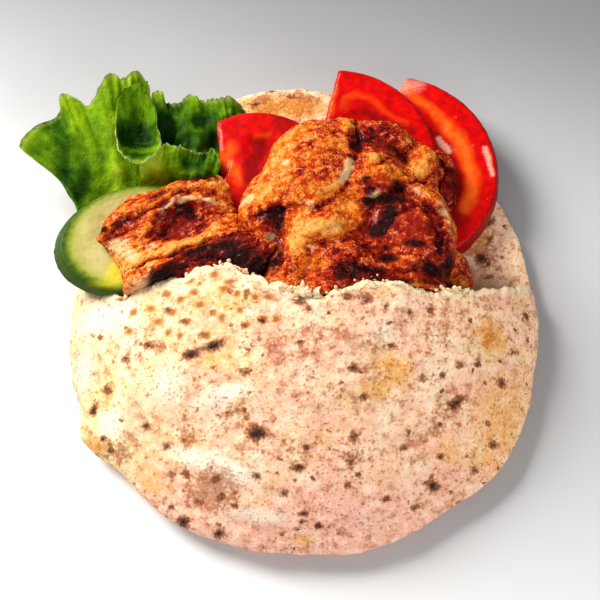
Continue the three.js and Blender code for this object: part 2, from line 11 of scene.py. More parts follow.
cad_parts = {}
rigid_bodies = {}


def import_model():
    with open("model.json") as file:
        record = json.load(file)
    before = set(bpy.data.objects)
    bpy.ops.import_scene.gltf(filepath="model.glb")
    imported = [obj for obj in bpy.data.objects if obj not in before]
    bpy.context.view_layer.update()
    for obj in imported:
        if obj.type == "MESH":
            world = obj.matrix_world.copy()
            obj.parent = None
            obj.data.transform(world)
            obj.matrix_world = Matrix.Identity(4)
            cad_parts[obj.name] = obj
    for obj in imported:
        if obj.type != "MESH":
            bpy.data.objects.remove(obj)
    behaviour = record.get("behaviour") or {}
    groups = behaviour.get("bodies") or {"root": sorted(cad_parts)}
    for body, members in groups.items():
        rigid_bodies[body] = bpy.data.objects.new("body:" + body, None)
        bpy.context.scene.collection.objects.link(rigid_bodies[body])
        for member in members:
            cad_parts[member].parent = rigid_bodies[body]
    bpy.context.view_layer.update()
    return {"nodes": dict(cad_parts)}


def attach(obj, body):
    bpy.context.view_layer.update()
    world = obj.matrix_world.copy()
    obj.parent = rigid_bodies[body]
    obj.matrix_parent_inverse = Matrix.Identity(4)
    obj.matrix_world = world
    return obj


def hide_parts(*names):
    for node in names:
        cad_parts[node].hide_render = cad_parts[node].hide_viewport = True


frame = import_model()

MM = 0.001  # lengths in this script are in millimetres, and Blender's are in metres

# ---------- the photograph's view ----------

PHOTO = 600  # the photograph's side in pixels
MM_PER_PIXEL = 0.34  # at the point that the camera looks at
TARGET = Vector((0, -4, 12))
TARGET_PIXEL = (303, 318)
ELEVATION = math.radians(72)
LENS = 100
SENSOR = 36
PIXELS_TO_LENS = PHOTO * LENS / SENSOR
FORWARD = Vector((0, math.cos(ELEVATION), -math.sin(ELEVATION)))
UP = Vector((0, math.sin(ELEVATION), math.cos(ELEVATION)))
RIGHT = Vector((1, 0, 0))
EYE = TARGET - FORWARD * PIXELS_TO_LENS * MM_PER_PIXEL


def add_camera():
    camera = bpy.data.objects.new("camera", bpy.data.cameras.new("camera"))
    bpy.context.scene.collection.objects.link(camera)
    camera.data.lens = LENS
    camera.data.sensor_width = SENSOR
    camera.data.shift_x = (PHOTO / 2 - TARGET_PIXEL[0]) / PHOTO
    camera.data.shift_y = (TARGET_PIXEL[1] - PHOTO / 2) / PHOTO
    camera.location = EYE * MM
    camera.rotation_euler = FORWARD.to_track_quat("-Z", "Y").to_euler()
    bpy.context.scene.camera = camera


def solid_tree(node):
    """A CAD solid, ready for rays, in millimetres."""
    mesh = frame["nodes"][node].data
    points = [point.co / MM for point in mesh.vertices]
    return BVHTree.FromPolygons(points, [list(face.vertices) for face in mesh.polygons])


TREES = {node: solid_tree(node) for node in frame["nodes"]}
USUAL_HEIGHT = 20  # where a pixel that misses its solid is looked for


def seen_at(node, px, py):
    """The place on a solid that lies under a pixel of the photograph, or the nearest one to it."""
    ray = FORWARD + (RIGHT * (px - TARGET_PIXEL[0]) + UP * (TARGET_PIXEL[1] - py)) / PIXELS_TO_LENS
    hit = TREES[node].ray_cast(EYE, ray.normalized())[0]
    if hit is None:
        near = EYE + ray * ((USUAL_HEIGHT - EYE.z) / ray.z)
        hit = TREES[node].find_nearest(near)[0]
    return np.array(hit)


# ---------- uneven surfaces: seeded noise for many points at once ----------

CORNERS = np.array([[i, j, k] for i in (0, 1) for j in (0, 1) for k in (0, 1)])
NEIGHBOURS = np.array([[i, j, k] for i in (-1, 0, 1) for j in (-1, 0, 1) for k in (-1, 0, 1)])


def scattered(cell, seed):
    """A number from 0 to 1 for each whole-number place."""
    whole = cell.astype(np.int64)
    mixed = whole[:, 0] * 374761393 + whole[:, 1] * 668265263 + whole[:, 2] * 1274126177 + seed * 974634777
    mixed &= 0xFFFFFFFF
    mixed = ((mixed ^ (mixed >> 13)) * 1274126177) & 0xFFFFFFFF
    return ((mixed ^ (mixed >> 16)) & 0xFFFFFFFF) / 2**32


def scattered_place(cell, seed):
    return np.stack([scattered(cell, seed + axis) for axis in range(3)], axis=1)


def noise(points, size, seed):
    """Smooth noise from about -1 to 1. Its swells are about size across."""
    scaled = points / size
    cell = np.floor(scaled)
    part = scaled - cell
    ease = part**3 * (part * (part * 6 - 15) + 10)
    total = np.zeros(len(points))
    for step in CORNERS:
        slope = scattered_place(cell + step, seed) * 2 - 1
        weight = np.prod(np.where(step, ease, 1 - ease), axis=1)
        total += weight * ((part - step) * slope).sum(axis=1)
    return total * 1.7


def grains(points, size, seed):
    """Round grains about size across: 1 at the middle of a grain, down to about 0 between them."""
    scaled = points / size
    cell = np.floor(scaled)
    least = np.full(len(points), 9.0)
    for step in NEIGHBOURS:
        place = cell + step + scattered_place(cell + step, seed)
        least = np.minimum(least, ((scaled - place) ** 2).sum(axis=1))
    return 1 - np.sqrt(least)


def smooth_step(value, low, high):
    part = np.clip((value - low) / (high - low), 0, 1)
    return part * part * (3 - 2 * part)


def turned(away, degrees):
    """How far flat offsets reach along a direction, and how far across it."""
    cos, sin = math.cos(math.radians(degrees)), math.sin(math.radians(degrees))
    return away[:, 0] * cos + away[:, 1] * sin, away[:, 1] * cos - away[:, 0] * sin


# ---------- meshes ----------

MARK_DEPTH = 9  # a mark reaches this far up and down from the place under its pixel
EDGE_WIDTH = 0.4  # a ledge rises within about this


def add_piece(name, points, faces):
    """A new piece from points in millimetres."""
    mesh = bpy.data.meshes.new(name)
    mesh.from_pydata([tuple(point) for point in np.asarray(points) * MM], [], faces)
    mesh.polygons.foreach_set("use_smooth", [True] * len(mesh.polygons))
    mesh.update()
    piece = bpy.data.objects.new(name, mesh)
    bpy.context.scene.collection.objects.link(piece)
    return piece


def fine_copy(name, node, cell):
    """A closed fine mesh in the form of a CAD solid."""
    piece = bpy.data.objects.new(name, frame["nodes"][node].data.copy())
    bpy.context.scene.collection.objects.link(piece)
    remesh = piece.modifiers.new("fine", "REMESH")
    remesh.mode = "VOXEL"
    remesh.voxel_size = cell * MM
    remesh.use_smooth_shade = True
    evaluated = piece.evaluated_get(bpy.context.evaluated_depsgraph_get())
    mesh = bpy.data.meshes.new_from_object(evaluated)
    piece.modifiers.clear()
    piece.data = mesh
    piece.data.materials.clear()
    return piece


class Surface:
    """A piece's points in millimetres, while its form is worked on. keep() writes them back.
    Pixels of the photograph are looked up on the CAD solid, node."""

    def __init__(self, piece, node):
        self.mesh, self.node = piece.data, node
        self.points = self._read(self.mesh.vertices, "co", 3) / MM
        ends = np.zeros(len(self.mesh.edges) * 2, np.int32)
        self.mesh.edges.foreach_get("vertices", ends)
        self.edges = ends.reshape(-1, 2)
        self.count = np.bincount(self.edges.ravel(), minlength=len(self.points))[:, None]

    @staticmethod
    def _read(items, field, width):
        values = np.zeros(len(items) * width, np.float32)
        items.foreach_get(field, values)
        return values.reshape(-1, width).astype(float)

    def keep(self):
        self.mesh.vertices.foreach_set("co", (self.points * MM).astype(np.float32).ravel())
        self.mesh.update()

    def normals(self):
        self.keep()
        return self._read(self.mesh.vertex_normals, "vector", 3)

    def mean_round(self, values):
        """The mean of the neighbours' values at each point."""
        total = np.zeros_like(values)
        for here, there in ((0, 1), (1, 0)):
            for axis in range(values.shape[1]):
                weights = values[self.edges[:, there], axis]
                total[:, axis] += np.bincount(self.edges[:, here], weights, len(self.points))
        return total / np.maximum(self.count, 1)

    def smooth(self, rounds, share=0.5):
        """share may differ from point to point."""
        share = np.broadcast_to(np.asarray(share, float).reshape(-1, 1), (len(self.points), 1))
        for _ in range(rounds):
            self.points += share * (self.mean_round(self.points) - self.points)

    def push(self, amount):
        """Moves each point out along its normal."""
        self.points += self.normals() * np.asarray(amount).reshape(-1, 1)

    def mark(self, name, values):
        """Stores values that a finish reads."""
        attribute = self.mesh.attributes.new(name, "FLOAT", "POINT")
        attribute.data.foreach_set("value", np.asarray(values, np.float32))

    def spots(self, marks, deep=MARK_DEPTH):
        """How far inside the marks each point is: 0 outside, and up to a mark's strength at its middle.
        A mark is a pixel of the photograph, half its length and width, its strength, and its turn in degrees
        where it has one."""
        most = np.zeros(len(self.points))
        for px, py, half_length, half_width, strength, *turn in marks:
            away = self.points - seen_at(self.node, px, py)
            along, across = turned(away, sum(turn))
            inside = np.clip(1 - np.hypot(along / half_length, across / half_width), 0, 1)
            most = np.maximum(most, strength * inside * (np.abs(away[:, 2]) < deep))
        return most

    def tones(self, marks, fullness, deep=MARK_DEPTH):
        """The sum of the marks, whose strengths may be below 0. A low fullness fills each mark out."""
        total = np.zeros(len(self.points))
        for px, py, half_length, half_width, strength, *turn in marks:
            mark = (px, py, half_length, half_width, 1, *turn)
            total += strength * self.spots([mark], deep) ** fullness
        return total

    def from_line(self, line, wander):
        """For each point how far a line of the photograph's pixels is, on which side (1 on the left), and if it
        is near the top there. wander makes the line uneven, in millimetres."""
        places = np.array([seen_at(self.node, *pixel) for pixel in line])
        sway = np.stack([noise(self.points, 5, seed) for seed in (91, 92)], axis=1)
        flat = self.points[:, :2] + wander * sway
        least = np.full(len(flat), np.inf)
        side = np.zeros(len(flat))
        for start, end in zip(places[:-1], places[1:]):
            run = (end - start)[:2]
            away = flat - start[:2]
            share = np.clip(away @ run / max(run @ run, 1e-9), 0, 1)
            far = np.hypot(*(away - share[:, None] * run).T)
            side = np.where(far < least, np.sign(run[0] * away[:, 1] - run[1] * away[:, 0]), side)
            least = np.minimum(least, far)
        low = places[:, 2].min()
        return least, side, smooth_step(self.points[:, 2], low - MARK_DEPTH, low - MARK_DEPTH / 2)

    def band(self, line, half_width, wander):
        """1 along a line, down to 0 at its sides."""
        far, _, near_top = self.from_line(line, wander)
        return np.exp(-((far / half_width) ** 2)) * near_top

    def ledge(self, line, reach, wander):
        """The left side of a line stands out over its right side, and both fade within about reach."""
        far, side, near_top = self.from_line(line, wander)
        return side * (1 - np.exp(-far / EDGE_WIDTH)) * np.exp(-far / reach) * near_top


# ---------- finishes ----------


def rgb(hex_code):
    """A colour as it looks on a screen, as linear numbers."""
    parts = [(hex_code >> shift & 255) / 255 for shift in (16, 8, 0)]
    return tuple(((p + 0.055) / 1.055) ** 2.4 if p > 0.04045 else p / 12.92 for p in parts) + (1.0,)


class Value:
    """A socket of a finish. Arithmetic on it adds the nodes that work it out."""

    def __init__(self, finish, socket):
        self.finish, self.socket = finish, socket

    def _maths(self, operation, *values):
        return self.finish.node("Math", {"operation": operation}, dict(enumerate(values)))

    def __add__(self, other):
        return self._maths("ADD", self, other)

    def __sub__(self, other):
        return self._maths("SUBTRACT", self, other)

    def __rsub__(self, other):
        return self._maths("SUBTRACT", other, self)

    def __mul__(self, other):
        return self._maths("MULTIPLY", self, other)

    def most(self, other):
        return self._maths("MAXIMUM", self, other)

    __radd__ = __add__
    __rmul__ = __mul__

    def step(self, low, high):
        """0 up to low, 1 from high, and smooth between them. low may be the higher one."""
        return self.finish.node("MapRange", {"interpolation_type": "SMOOTHSTEP"}, {0: self, 1: low, 2: high})


class Finish:
    """A material in the making."""

    def __init__(self, name):
        self.material = bpy.data.materials.new(name)
        self.material.use_nodes = True
        self.tree = self.material.node_tree
        self.place = self.node("TexCoord", outputs="Object")

    def node(self, kind, settings=None, inputs=None, outputs=0):
        made = self.tree.nodes.new("ShaderNode" + kind)
        for name, setting in (settings or {}).items():
            if name == "stops":
                self._set_stops(made.color_ramp, setting)
            else:
                setattr(made, name, setting)
        for name, value in (inputs or {}).items():
            self._feed(made.inputs[name], value)
        return Value(self, made.outputs[outputs])

    def _feed(self, socket, value):
        if isinstance(value, Value):
            self.tree.links.new(value.socket, socket)
        else:
            socket.default_value = value

    @staticmethod
    def _set_stops(ramp, stops):
        while len(ramp.elements) < len(stops):
            ramp.elements.new(0.5)
        for element, (place, colour) in zip(ramp.elements, stops):
            element.position = place
            element.color = colour

    def noise(self, size, detail=2, place=None):
        """Soft noise from 0 to 1, with swells about size across."""
        inputs = {"Vector": place or self.place, "Scale": 1 / (size * MM), "Detail": detail}
        return self.node("TexNoise", {}, inputs)

    def stretched(self, degrees, times):
        """The place, drawn out along a direction in the table's plane."""
        turn = (0, 0, -math.radians(degrees))
        place = self.node("Mapping", {}, {"Vector": self.place, "Rotation": turn})
        return self.node("Mapping", {}, {"Vector": place, "Scale": (1 / times, 1, 1)})

    def swirled(self, size, share):
        """The place, moved by about a share of size, so that an even pattern wanders."""
        wander = self.node("TexNoise", {}, {"Vector": self.place, "Scale": 1 / (size * MM)}, "Color")
        offset = self.node("VectorMath", {"operation": "SCALE"}, {0: wander, "Scale": size * MM * share * 2})
        return self.node("VectorMath", {"operation": "ADD"}, {0: self.place, 1: offset})

    def cells(self, size, place, outputs="Distance", feature="F1"):
        """How far it is to the nearest of scattered points, which lie about size apart."""
        inputs = {"Vector": place, "Scale": 1 / (size * MM)}
        return self.node("TexVoronoi", {"feature": feature}, inputs, outputs)

    def net(self, size):
        """1 along the lines of a fine net with meshes about size across."""
        return self.cells(size, self.swirled(size, 0.35), feature="DISTANCE_TO_EDGE").step(0.1, 0.0)

    def freckles(self, size, radius, share):
        """Round spots on a share of the scattered points, 1 at their middles. radius is a part of size."""
        place = self.swirled(radius * size, 0.9)
        chosen = self.node("SeparateColor", {}, {0: self.cells(size, place, "Color")})
        return self.cells(size, place).step(radius, radius * 0.2) * chosen.step(1.02 - share, 1.0 - share * 0.5)

    def patches(self, size, share):
        """Soft patches that cover about a share of the surface, 1 in their middles."""
        return self.noise(size, 3).step(0.6 - share * 0.3, 0.72 - share * 0.3)

    def marked(self, name):
        return self.node("Attribute", {"attribute_name": name}, outputs="Fac")

    def axis(self, axis):
        """The place along an axis, in millimetres."""
        return self.node("SeparateXYZ", {}, {0: self.place}, axis) * (1 / MM)

    def ramp(self, value, stops):
        return self.node("ValToRGB", {"stops": [(place, rgb(code)) for place, code in stops]}, {0: value})

    def blend(self, share, first, second):
        """From the first colour to the second. A colour is a number or a Value."""
        colours = [rgb(colour) if isinstance(colour, int) else colour for colour in (first, second)]
        return self.node("Mix", {"data_type": "RGBA"}, {0: share, 6: colours[0], 7: colours[1]}, 2)

    def paint(self, colour, *layers):
        """Lays layers over a colour, each with its share and its colour."""
        for share, layer in layers:
            colour = self.blend(share, colour, layer)
        return colour

    def bump(self, height, depth):
        return self.node("Bump", {}, {"Height": height, "Distance": depth * MM, "Strength": 1.0})

    def set(self, **sockets):
        """Feeds the shader. A socket's name has _ for each space."""
        for name, value in sockets.items():
            self._feed(self.tree.nodes["Principled BSDF"].inputs[name.replace("_", " ")], value)
        return self.material


# ---------- the pita ----------

HALF_WIDTH = 81.5
MOUTH_MIDDLE = -2.5  # the mouth's y at the middle, and at the sides
MOUTH_ENDS = 7
FRONT_LAYER_LOW = 11  # near the mouth, what is above this height is the torn front layer
# Tongues and notches of the torn edge: centre x, reach in y, half width.
MOUTH_TONGUES = [(-26, 8, 12), (2, -4.5, 8), (25, 2.6, 8), (-62, -3, 9), (-42, 2.2, 8), (46, -2.2, 14)]

BROAD_MARK_DEPTH = 14
# Marks on the bread: pixel, half length, half width, strength, turn.
CHAR_MARKS = [
    (258, 434, 4.9, 3.8, 0.95, -6), (191, 355, 4.9, 2.5, 0.9, 14), (214, 346, 5.4, 2.5, 0.95, 10),
    (455, 404, 6.1, 2.6, 0.85, 40), (433, 487, 3.4, 3, 0.95), (433, 477, 2.1, 2, 0.57),
    (183, 523, 3.6, 3, 0.95), (219, 534, 2.6, 2.1, 0.95), (354, 438, 2.8, 2.6, 0.81),
    (351, 463, 2.6, 2.3, 0.66), (502, 383, 3.1, 2.3, 0.85, -8), (494, 445, 2.6, 2.5, 0.81),
    (478, 365, 2.8, 2, 0.76, 20), (461, 366, 2, 1.6, 0.71), (392, 346, 3.8, 2.3, 0.66),
    (443, 376, 2.1, 1.8, 0.81), (354, 369, 2.5, 2.1, 0.76), (364, 398, 2.6, 1.8, 0.71, 20),
    (422, 380, 2.5, 2, 0.71), (70, 408, 2.1, 3.1, 0.95), (84, 447, 2, 1.6, 0.85), (110, 450, 2.8, 2.5, 0.66),
    (107, 390, 3.6, 2.5, 0.71, -20), (93, 336, 2, 1.3, 0.71, -20), (102, 338, 2, 1.3, 0.71, -20),
    (127, 360, 2.6, 1.8, 0.71, -10), (149, 345, 4.1, 1.8, 0.57, -15), (167, 446, 2.3, 2, 0.71),
    (146, 427, 2.1, 2, 0.76), (186, 475, 3.1, 2, 0.57, -30), (217, 480, 3, 2, 0.57),
    (221, 497, 2.5, 2.1, 0.76), (200, 502, 3, 1.6, 0.71, -8), (172, 475, 1.8, 3, 0.62),
    (172, 507, 2.3, 1.6, 0.71, -20), (235, 506, 2, 1.6, 0.81), (257, 477, 2.3, 1.8, 0.76),
    (299, 468, 2.8, 2.3, 0.71), (284, 494, 3.1, 2, 0.71), (306, 448, 2, 1.8, 0.81), (245, 372, 2.3, 2, 0.66),
    (231, 413, 3, 2, 0.57), (246, 418, 2.5, 2, 0.57), (300, 300, 3.6, 2.8, 0.95, -20),
    (350, 297, 4.4, 1.8, 0.71), (367, 300, 3.4, 2.5, 0.85, 10), (431, 309, 1.8, 3.4, 0.66, -20),
    (410, 314, 1.6, 3, 0.66), (387, 306, 2, 1.8, 0.71), (301, 343, 2.1, 1.8, 0.71),
    (185, 322, 2.6, 1.8, 0.71), (168, 311, 2.6, 1.8, 0.71), (262, 321, 2.3, 2.1, 0.76),
    (245, 326, 2, 1.5, 0.66), (231, 290, 1.8, 2.6, 0.66), (213, 313, 1.8, 2.5, 0.57), (197, 293, 2, 2, 0.57),
    (204, 336, 2.8, 2.5, 0.57), (247, 292, 2, 2.5, 0.57), (124, 297, 4.9, 1.8, 0.76, 12),
    (303, 514, 2.8, 1.3, 0.81), (302, 522, 1.6, 1.5, 0.81), (318, 526, 2.3, 1.6, 0.85),
    (299, 529, 3, 1.2, 0.76), (338, 533, 2.5, 1.1, 0.57), (415, 508, 3.1, 1.6, 0.76, 15),
    (387, 499, 2.3, 1.5, 0.81, 20), (348, 486, 2, 1.5, 0.62), (460, 502, 2.8, 1.1, 0.66, 20),
    (440, 457, 2, 1.8, 0.76), (475, 470, 2.1, 1.6, 0.76), (488, 424, 1.6, 1.5, 0.81),
    (404, 448, 2.6, 1.8, 0.66), (526, 316, 2.5, 2.1, 0.62), (514, 352, 2.8, 2.1, 0.57),
    (481, 258, 3.8, 3.3, 0.95, 20), (490, 240, 3.8, 2.1, 0.66, 60), (488, 277, 2.5, 2, 0.57),
    (490, 222, 3.4, 2, 0.76, 30), (272, 92, 2.8, 1.2, 0.76, 15), (293, 97, 4.1, 1.2, 0.76, -6),
    (256, 88, 2.5, 1.1, 0.66, 20),
]
TOAST_MARKS = [
    (268, 107, 12, 6, 2.6), (298, 106, 12, 6, 2.6, -6), (395, 370, 10, 8, 1.2, -30),
    (380, 387, 10, 5, 1.1, 10), (490, 337, 8, 8, 1.7), (493, 326, 3, 2, 1.2), (207, 334, 5, 3, 1),
    (230, 300, 16, 9, 0.6), (190, 300, 12, 9, 0.5), (150, 303, 5, 9, 0.7), (108, 396, 5, 8, 0.8),
    (98, 446, 9, 4, 1.1, -12), (386, 290, 7, 4, 0.5, 10), (430, 288, 6, 2.4, 0.9, 20),
    (502, 420, 18, 28, 0.75, -20), (485, 460, 10, 9, 0.7, 20), (450, 450, 12, 8, 0.6), (300, 540, 14, 3, 0.6),
    (150, 480, 12, 6, 0.7, -40), (478, 240, 7, 10, 1, -20), (215, 360, 14, 6, 0.6),
]
# Brown smudges of the crust, and painted shade: the wide faint marks darken the middle and the right of the
# front layer.
SMUDGE_AND_SHADE_MARKS = [
    (262, 100, 7, 3, 1.3, 25), (300, 96, 10, 3, 1.3, -6), (478, 254, 8, 7, 1.4), (276, 352, 7, 6, 1),
    (310, 333, 10, 6, 0.8, 20), (335, 338, 8, 7, 0.7), (300, 352, 16, 12, 0.5), (187, 434, 5, 8, 1, 30),
    (212, 489, 13, 9, 1.5), (275, 452, 12, 8, 0.5), (412, 442, 9, 4, 0.9, 30), (438, 428, 9, 4, 0.7, 20),
    (455, 408, 12, 8, 0.7, 40), (258, 434, 10, 8, 0.6), (155, 345, 8, 5, 0.8, -15), (130, 352, 6, 5, 0.7),
    (440, 312, 16, 10, 0.5), (375, 375, 8, 7, 0.7), (350, 460, 12, 10, 0.5), (480, 250, 9, 12, 0.9),
    (120, 452, 9, 6, 0.8), (235, 412, 10, 5, 0.7), (430, 322, 34, 22, 0.4), (340, 330, 40, 22, 0.3),
    (485, 310, 20, 12, 0.3), (110, 365, 18, 14, 0.35),
]
FLOUR_MARKS = [
    (108, 318, 20, 12, 0.9), (120, 300, 14, 6, 0.7, 20), (222, 395, 15, 5, 1.2, 10),
    (208, 462, 22, 5, 1.2, -18), (236, 474, 12, 5, 1.1, -20), (110, 425, 8, 9, 1.1),
    (165, 385, 16, 12, 0.7, 30), (84, 370, 8, 16, 0.8), (262, 516, 20, 4, 0.8, -8), (440, 372, 16, 5, 0.6),
    (385, 330, 14, 12, 0.5), (410, 305, 16, 5, 0.5),
]
# Golden spots of the torn flap, as pixels.
GOLDEN_SPOTS = [
    (151, 309), (167, 294), (173, 312), (186, 322), (194, 292), (180, 300), (224, 289), (237, 294), (230, 282),
    (247, 294), (255, 297), (269, 297), (263, 319), (247, 325), (213, 313), (222, 317), (168, 333), (180, 336),
    (207, 336), (133, 313), (129, 332), (276, 319), (158, 322), (200, 305), (240, 310), (190, 281), (214, 275),
]
# Creases and swells of the front layer: a line of pixels, its half width, and how far it stands out.
BREAD_CREASES = [
    ((398, 446), (416, 440), (428, 430), (446, 425), 2.2, -0.6),
    ((392, 436), (410, 428), (420, 418), (436, 414), 2.6, 0.4), ((150, 345), (190, 358), (240, 350), 3, -0.8),
    ((86, 446), (104, 456), (126, 452), 3, -1), ((80, 436), (102, 444), (124, 440), 3, 0.9),
    ((205, 395), (235, 400), 4, 0.9), ((200, 462), (240, 470), 4, 0.8),
    ((230, 522), (300, 534), (380, 528), 2.2, -0.6), ((300, 300), (330, 330), (330, 360), 4, -0.6),
    ((450, 320), (470, 350), (465, 380), 4, 0.7), ((110, 330), (125, 380), (120, 420), 4, 0.6),
]


def mouth_y(x):
    bow = MOUTH_MIDDLE + (MOUTH_ENDS - MOUTH_MIDDLE) * (x / HALF_WIDTH) ** 2
    return bow + sum(reach * np.exp(-(((x - at) / width) ** 2)) for at, reach, width in MOUTH_TONGUES)


def bread_finish():
    crust = Finish("baked_flatbread")
    x, y = crust.axis(0), crust.axis(1)
    wander = (crust.noise(34, 2) - 0.5) * 70
    mottle = crust.noise(3.0, 4)
    grain = crust.noise(0.95, 3)
    blur = (mottle - 0.5) * 0.35 + (grain - 0.5) * 0.25
    flour = crust.marked("flour") * (mottle * 1.4 + 0.3)
    toast = crust.marked("toast") * (mottle * 1.8 + 0.1) + (grain - 0.5) * 0.4
    # Brown smudges, with painted shade from the wide faint marks.
    smudge = crust.marked("smudge") * (mottle * 1.4 + 0.3) + (grain - 0.5) * 1.3 + (mottle - 0.5) * 1.2
    freckle = (crust.freckles(5.2, 0.26, 0.8) + blur).most(crust.freckles(3.0, 0.28, 0.35) * 0.4 + blur)
    golden = crust.marked("golden") + blur
    torn = crust.marked("torn") + (mottle - 0.5) * 1.2
    burn = crust.marked("char") + (grain - 0.5) * 0.8 + (mottle - 0.5) * 0.8
    far_left = (x - y * 0.5).step(30, -50)
    colour = crust.paint(
        crust.blend((x + wander).step(-86, -6), 0xF4D492, 0xFAC49E),
        (crust.patches(13, 0.4) * 0.5, 0xF9E4BE),
        (crust.patches(16, 0.35) * 0.5, 0xEDC07A),
        (crust.patches(19, 0.4) * 0.45, 0xF0A88C),
        # Pinker towards the near edge: partly the crust's own pink, partly painted shade where the front layer
        # curves down to the rim.
        ((wander * 0.4 - y).step(46, 84) * 0.7, 0xF4AC9C),
        (crust.marked("inner") * 0.4, 0xEBCBA2),
        (mottle.step(0.5, 0.66) * 0.65, 0xC48862),
        (mottle.step(0.47, 0.33) * 0.4, 0xFFF0D4),
        (flour.step(0.1, 0.9) * 0.75, 0xFFF4DC),
        (toast.step(0.05, 0.75) * 0.75, 0xEDAA54),
        (toast.step(0.7, 1.5) * 0.8, 0xD07C14),
        (smudge.step(0.1, 0.85) * 0.66, 0xAC5C36),
        (grain.step(0.54, 0.7) * (0.32 + 0.42 * crust.patches(24, 0.5)), 0x96603F),
        (grain.step(0.46, 0.3) * 0.25, 0xFFEFD2),
        (freckle.step(0.14, 0.6) * 0.7, crust.blend(far_left, 0x9A5A36, 0xC08A30)),
        (freckle.step(0.5, 1.0) * 0.8, crust.blend(far_left, 0x5E2E1A, 0x8A5418)),
        (golden.step(0.15, 0.6) * 0.7, 0xC48A3A),
        (golden.step(0.4, 0.8) * 0.8, 0x96501C),
        (torn.step(0.35, 0.75) * 0.8, 0xF2DCB2),
        (burn.step(0.05, 0.4) * 0.75, 0xA55F38),
        (burn.step(0.26, 0.6) * 0.8, 0x5E3526),
        (burn.step(0.5, 0.85) * 0.9, 0x1F1412),
    )
    height = grain * 0.5 + mottle * 0.9 - freckle * 0.3 - burn.step(0.2, 0.6) * 0.3
    return crust.set(
        Base_Color=colour,
        Roughness=0.85,
        Specular_IOR_Level=0.2,
        Normal=crust.bump(height, 0.6),
    )


def build_bread():
    piece = fine_copy("pita", "pita_bread", cell=0.97)
    bread = Surface(piece, "pita_bread")
    points = bread.points
    from_mouth = points[:, 1] - mouth_y(points[:, 0])
    high = points[:, 2] > FRONT_LAYER_LOW
    at_edge = (1 - smooth_step(np.abs(from_mouth), 2.5, 6)) * high
    bread.smooth(rounds=14, share=0.5 * (1 - 0.85 * at_edge))
    for *line, half_width, lift in BREAD_CREASES:
        points[:, 2] += lift * bread.band(line, half_width, 2.0)
    swell = 0.5 * noise(points, 24, 1) + 0.35 * noise(points, 9, 2) + 0.22 * noise(points, 3.6, 3)
    above_table = smooth_step(points[:, 2], 0.2, 2.0)
    bread.push((swell + 0.14 * noise(points, 1.9, 7)) * above_table)
    ragged = 1.5 * noise(points, 4.6, 4) + 1.0 * noise(points, 2.1, 5)
    points[:, 1] += ragged * at_edge
    bread.push(0.45 * at_edge * grains(points, 1.8, 6))
    char = bread.spots(CHAR_MARKS)
    bread.push(-0.3 * smooth_step(char, 0.2, 0.7))
    bread.mark("torn", (1 - smooth_step(np.abs(from_mouth), 1.0, 3.4)) * high)
    bread.mark("inner", (from_mouth > 1.5) * (bread.normals()[:, 2] > 0.15))
    bread.mark("char", char)
    bread.mark("toast", bread.spots(TOAST_MARKS))
    bread.mark("golden", bread.spots([(x, y, 2.4 + x % 3 * 0.5, 2.4, 1) for x, y in GOLDEN_SPOTS]))
    bread.mark("flour", bread.spots(FLOUR_MARKS, BROAD_MARK_DEPTH))
    # The smudges include painted shade from the wide faint marks.
    bread.mark("smudge", bread.spots(SMUDGE_AND_SHADE_MARKS, BROAD_MARK_DEPTH))
    bread.keep()
    dress(piece, bread_finish(), "pita_bread")


# Wisps of torn crumb: where each starts and ends in pixels, and how high its end lifts, in millimetres.
WISPS = [
    ((285, 291), (281, 277), 1.6), ((289, 292), (288, 281), 2.4), ((300, 296), (297, 281), 2.2),
    ((306, 297), (305, 279), 3.0), ((311, 297), (313, 280), 2.2), ((316, 296), (322, 286), 2.0),
    ((372, 288), (368, 281), 1.6), ((396, 286), (400, 279), 1.4), ((449, 291), (446, 284), 1.6),
    ((456, 292), (458, 284), 2.0), ((463, 293), (468, 287), 1.4), ((243, 272), (238, 265), 1.2),
    ((266, 280), (270, 272), 1.4), ((215, 271), (210, 264), 1.2),
]
WISP_ROWS = 7
RING = 6  # points round a wisp or a lump
CRUMBS = 130
CRUMBS_FROM = -61  # x, in millimetres


def crumb_finish():
    crumb = Finish("torn_bread_crumb")
    tint = crumb.noise(1.6, 3)
    colour = crumb.blend(tint.step(0.4, 0.65), 0xF2DFB8, 0xDDB384)
    return crumb.set(Base_Color=colour, Roughness=0.9, Specular_IOR_Level=0.15, Normal=crumb.bump(tint, 0.4))


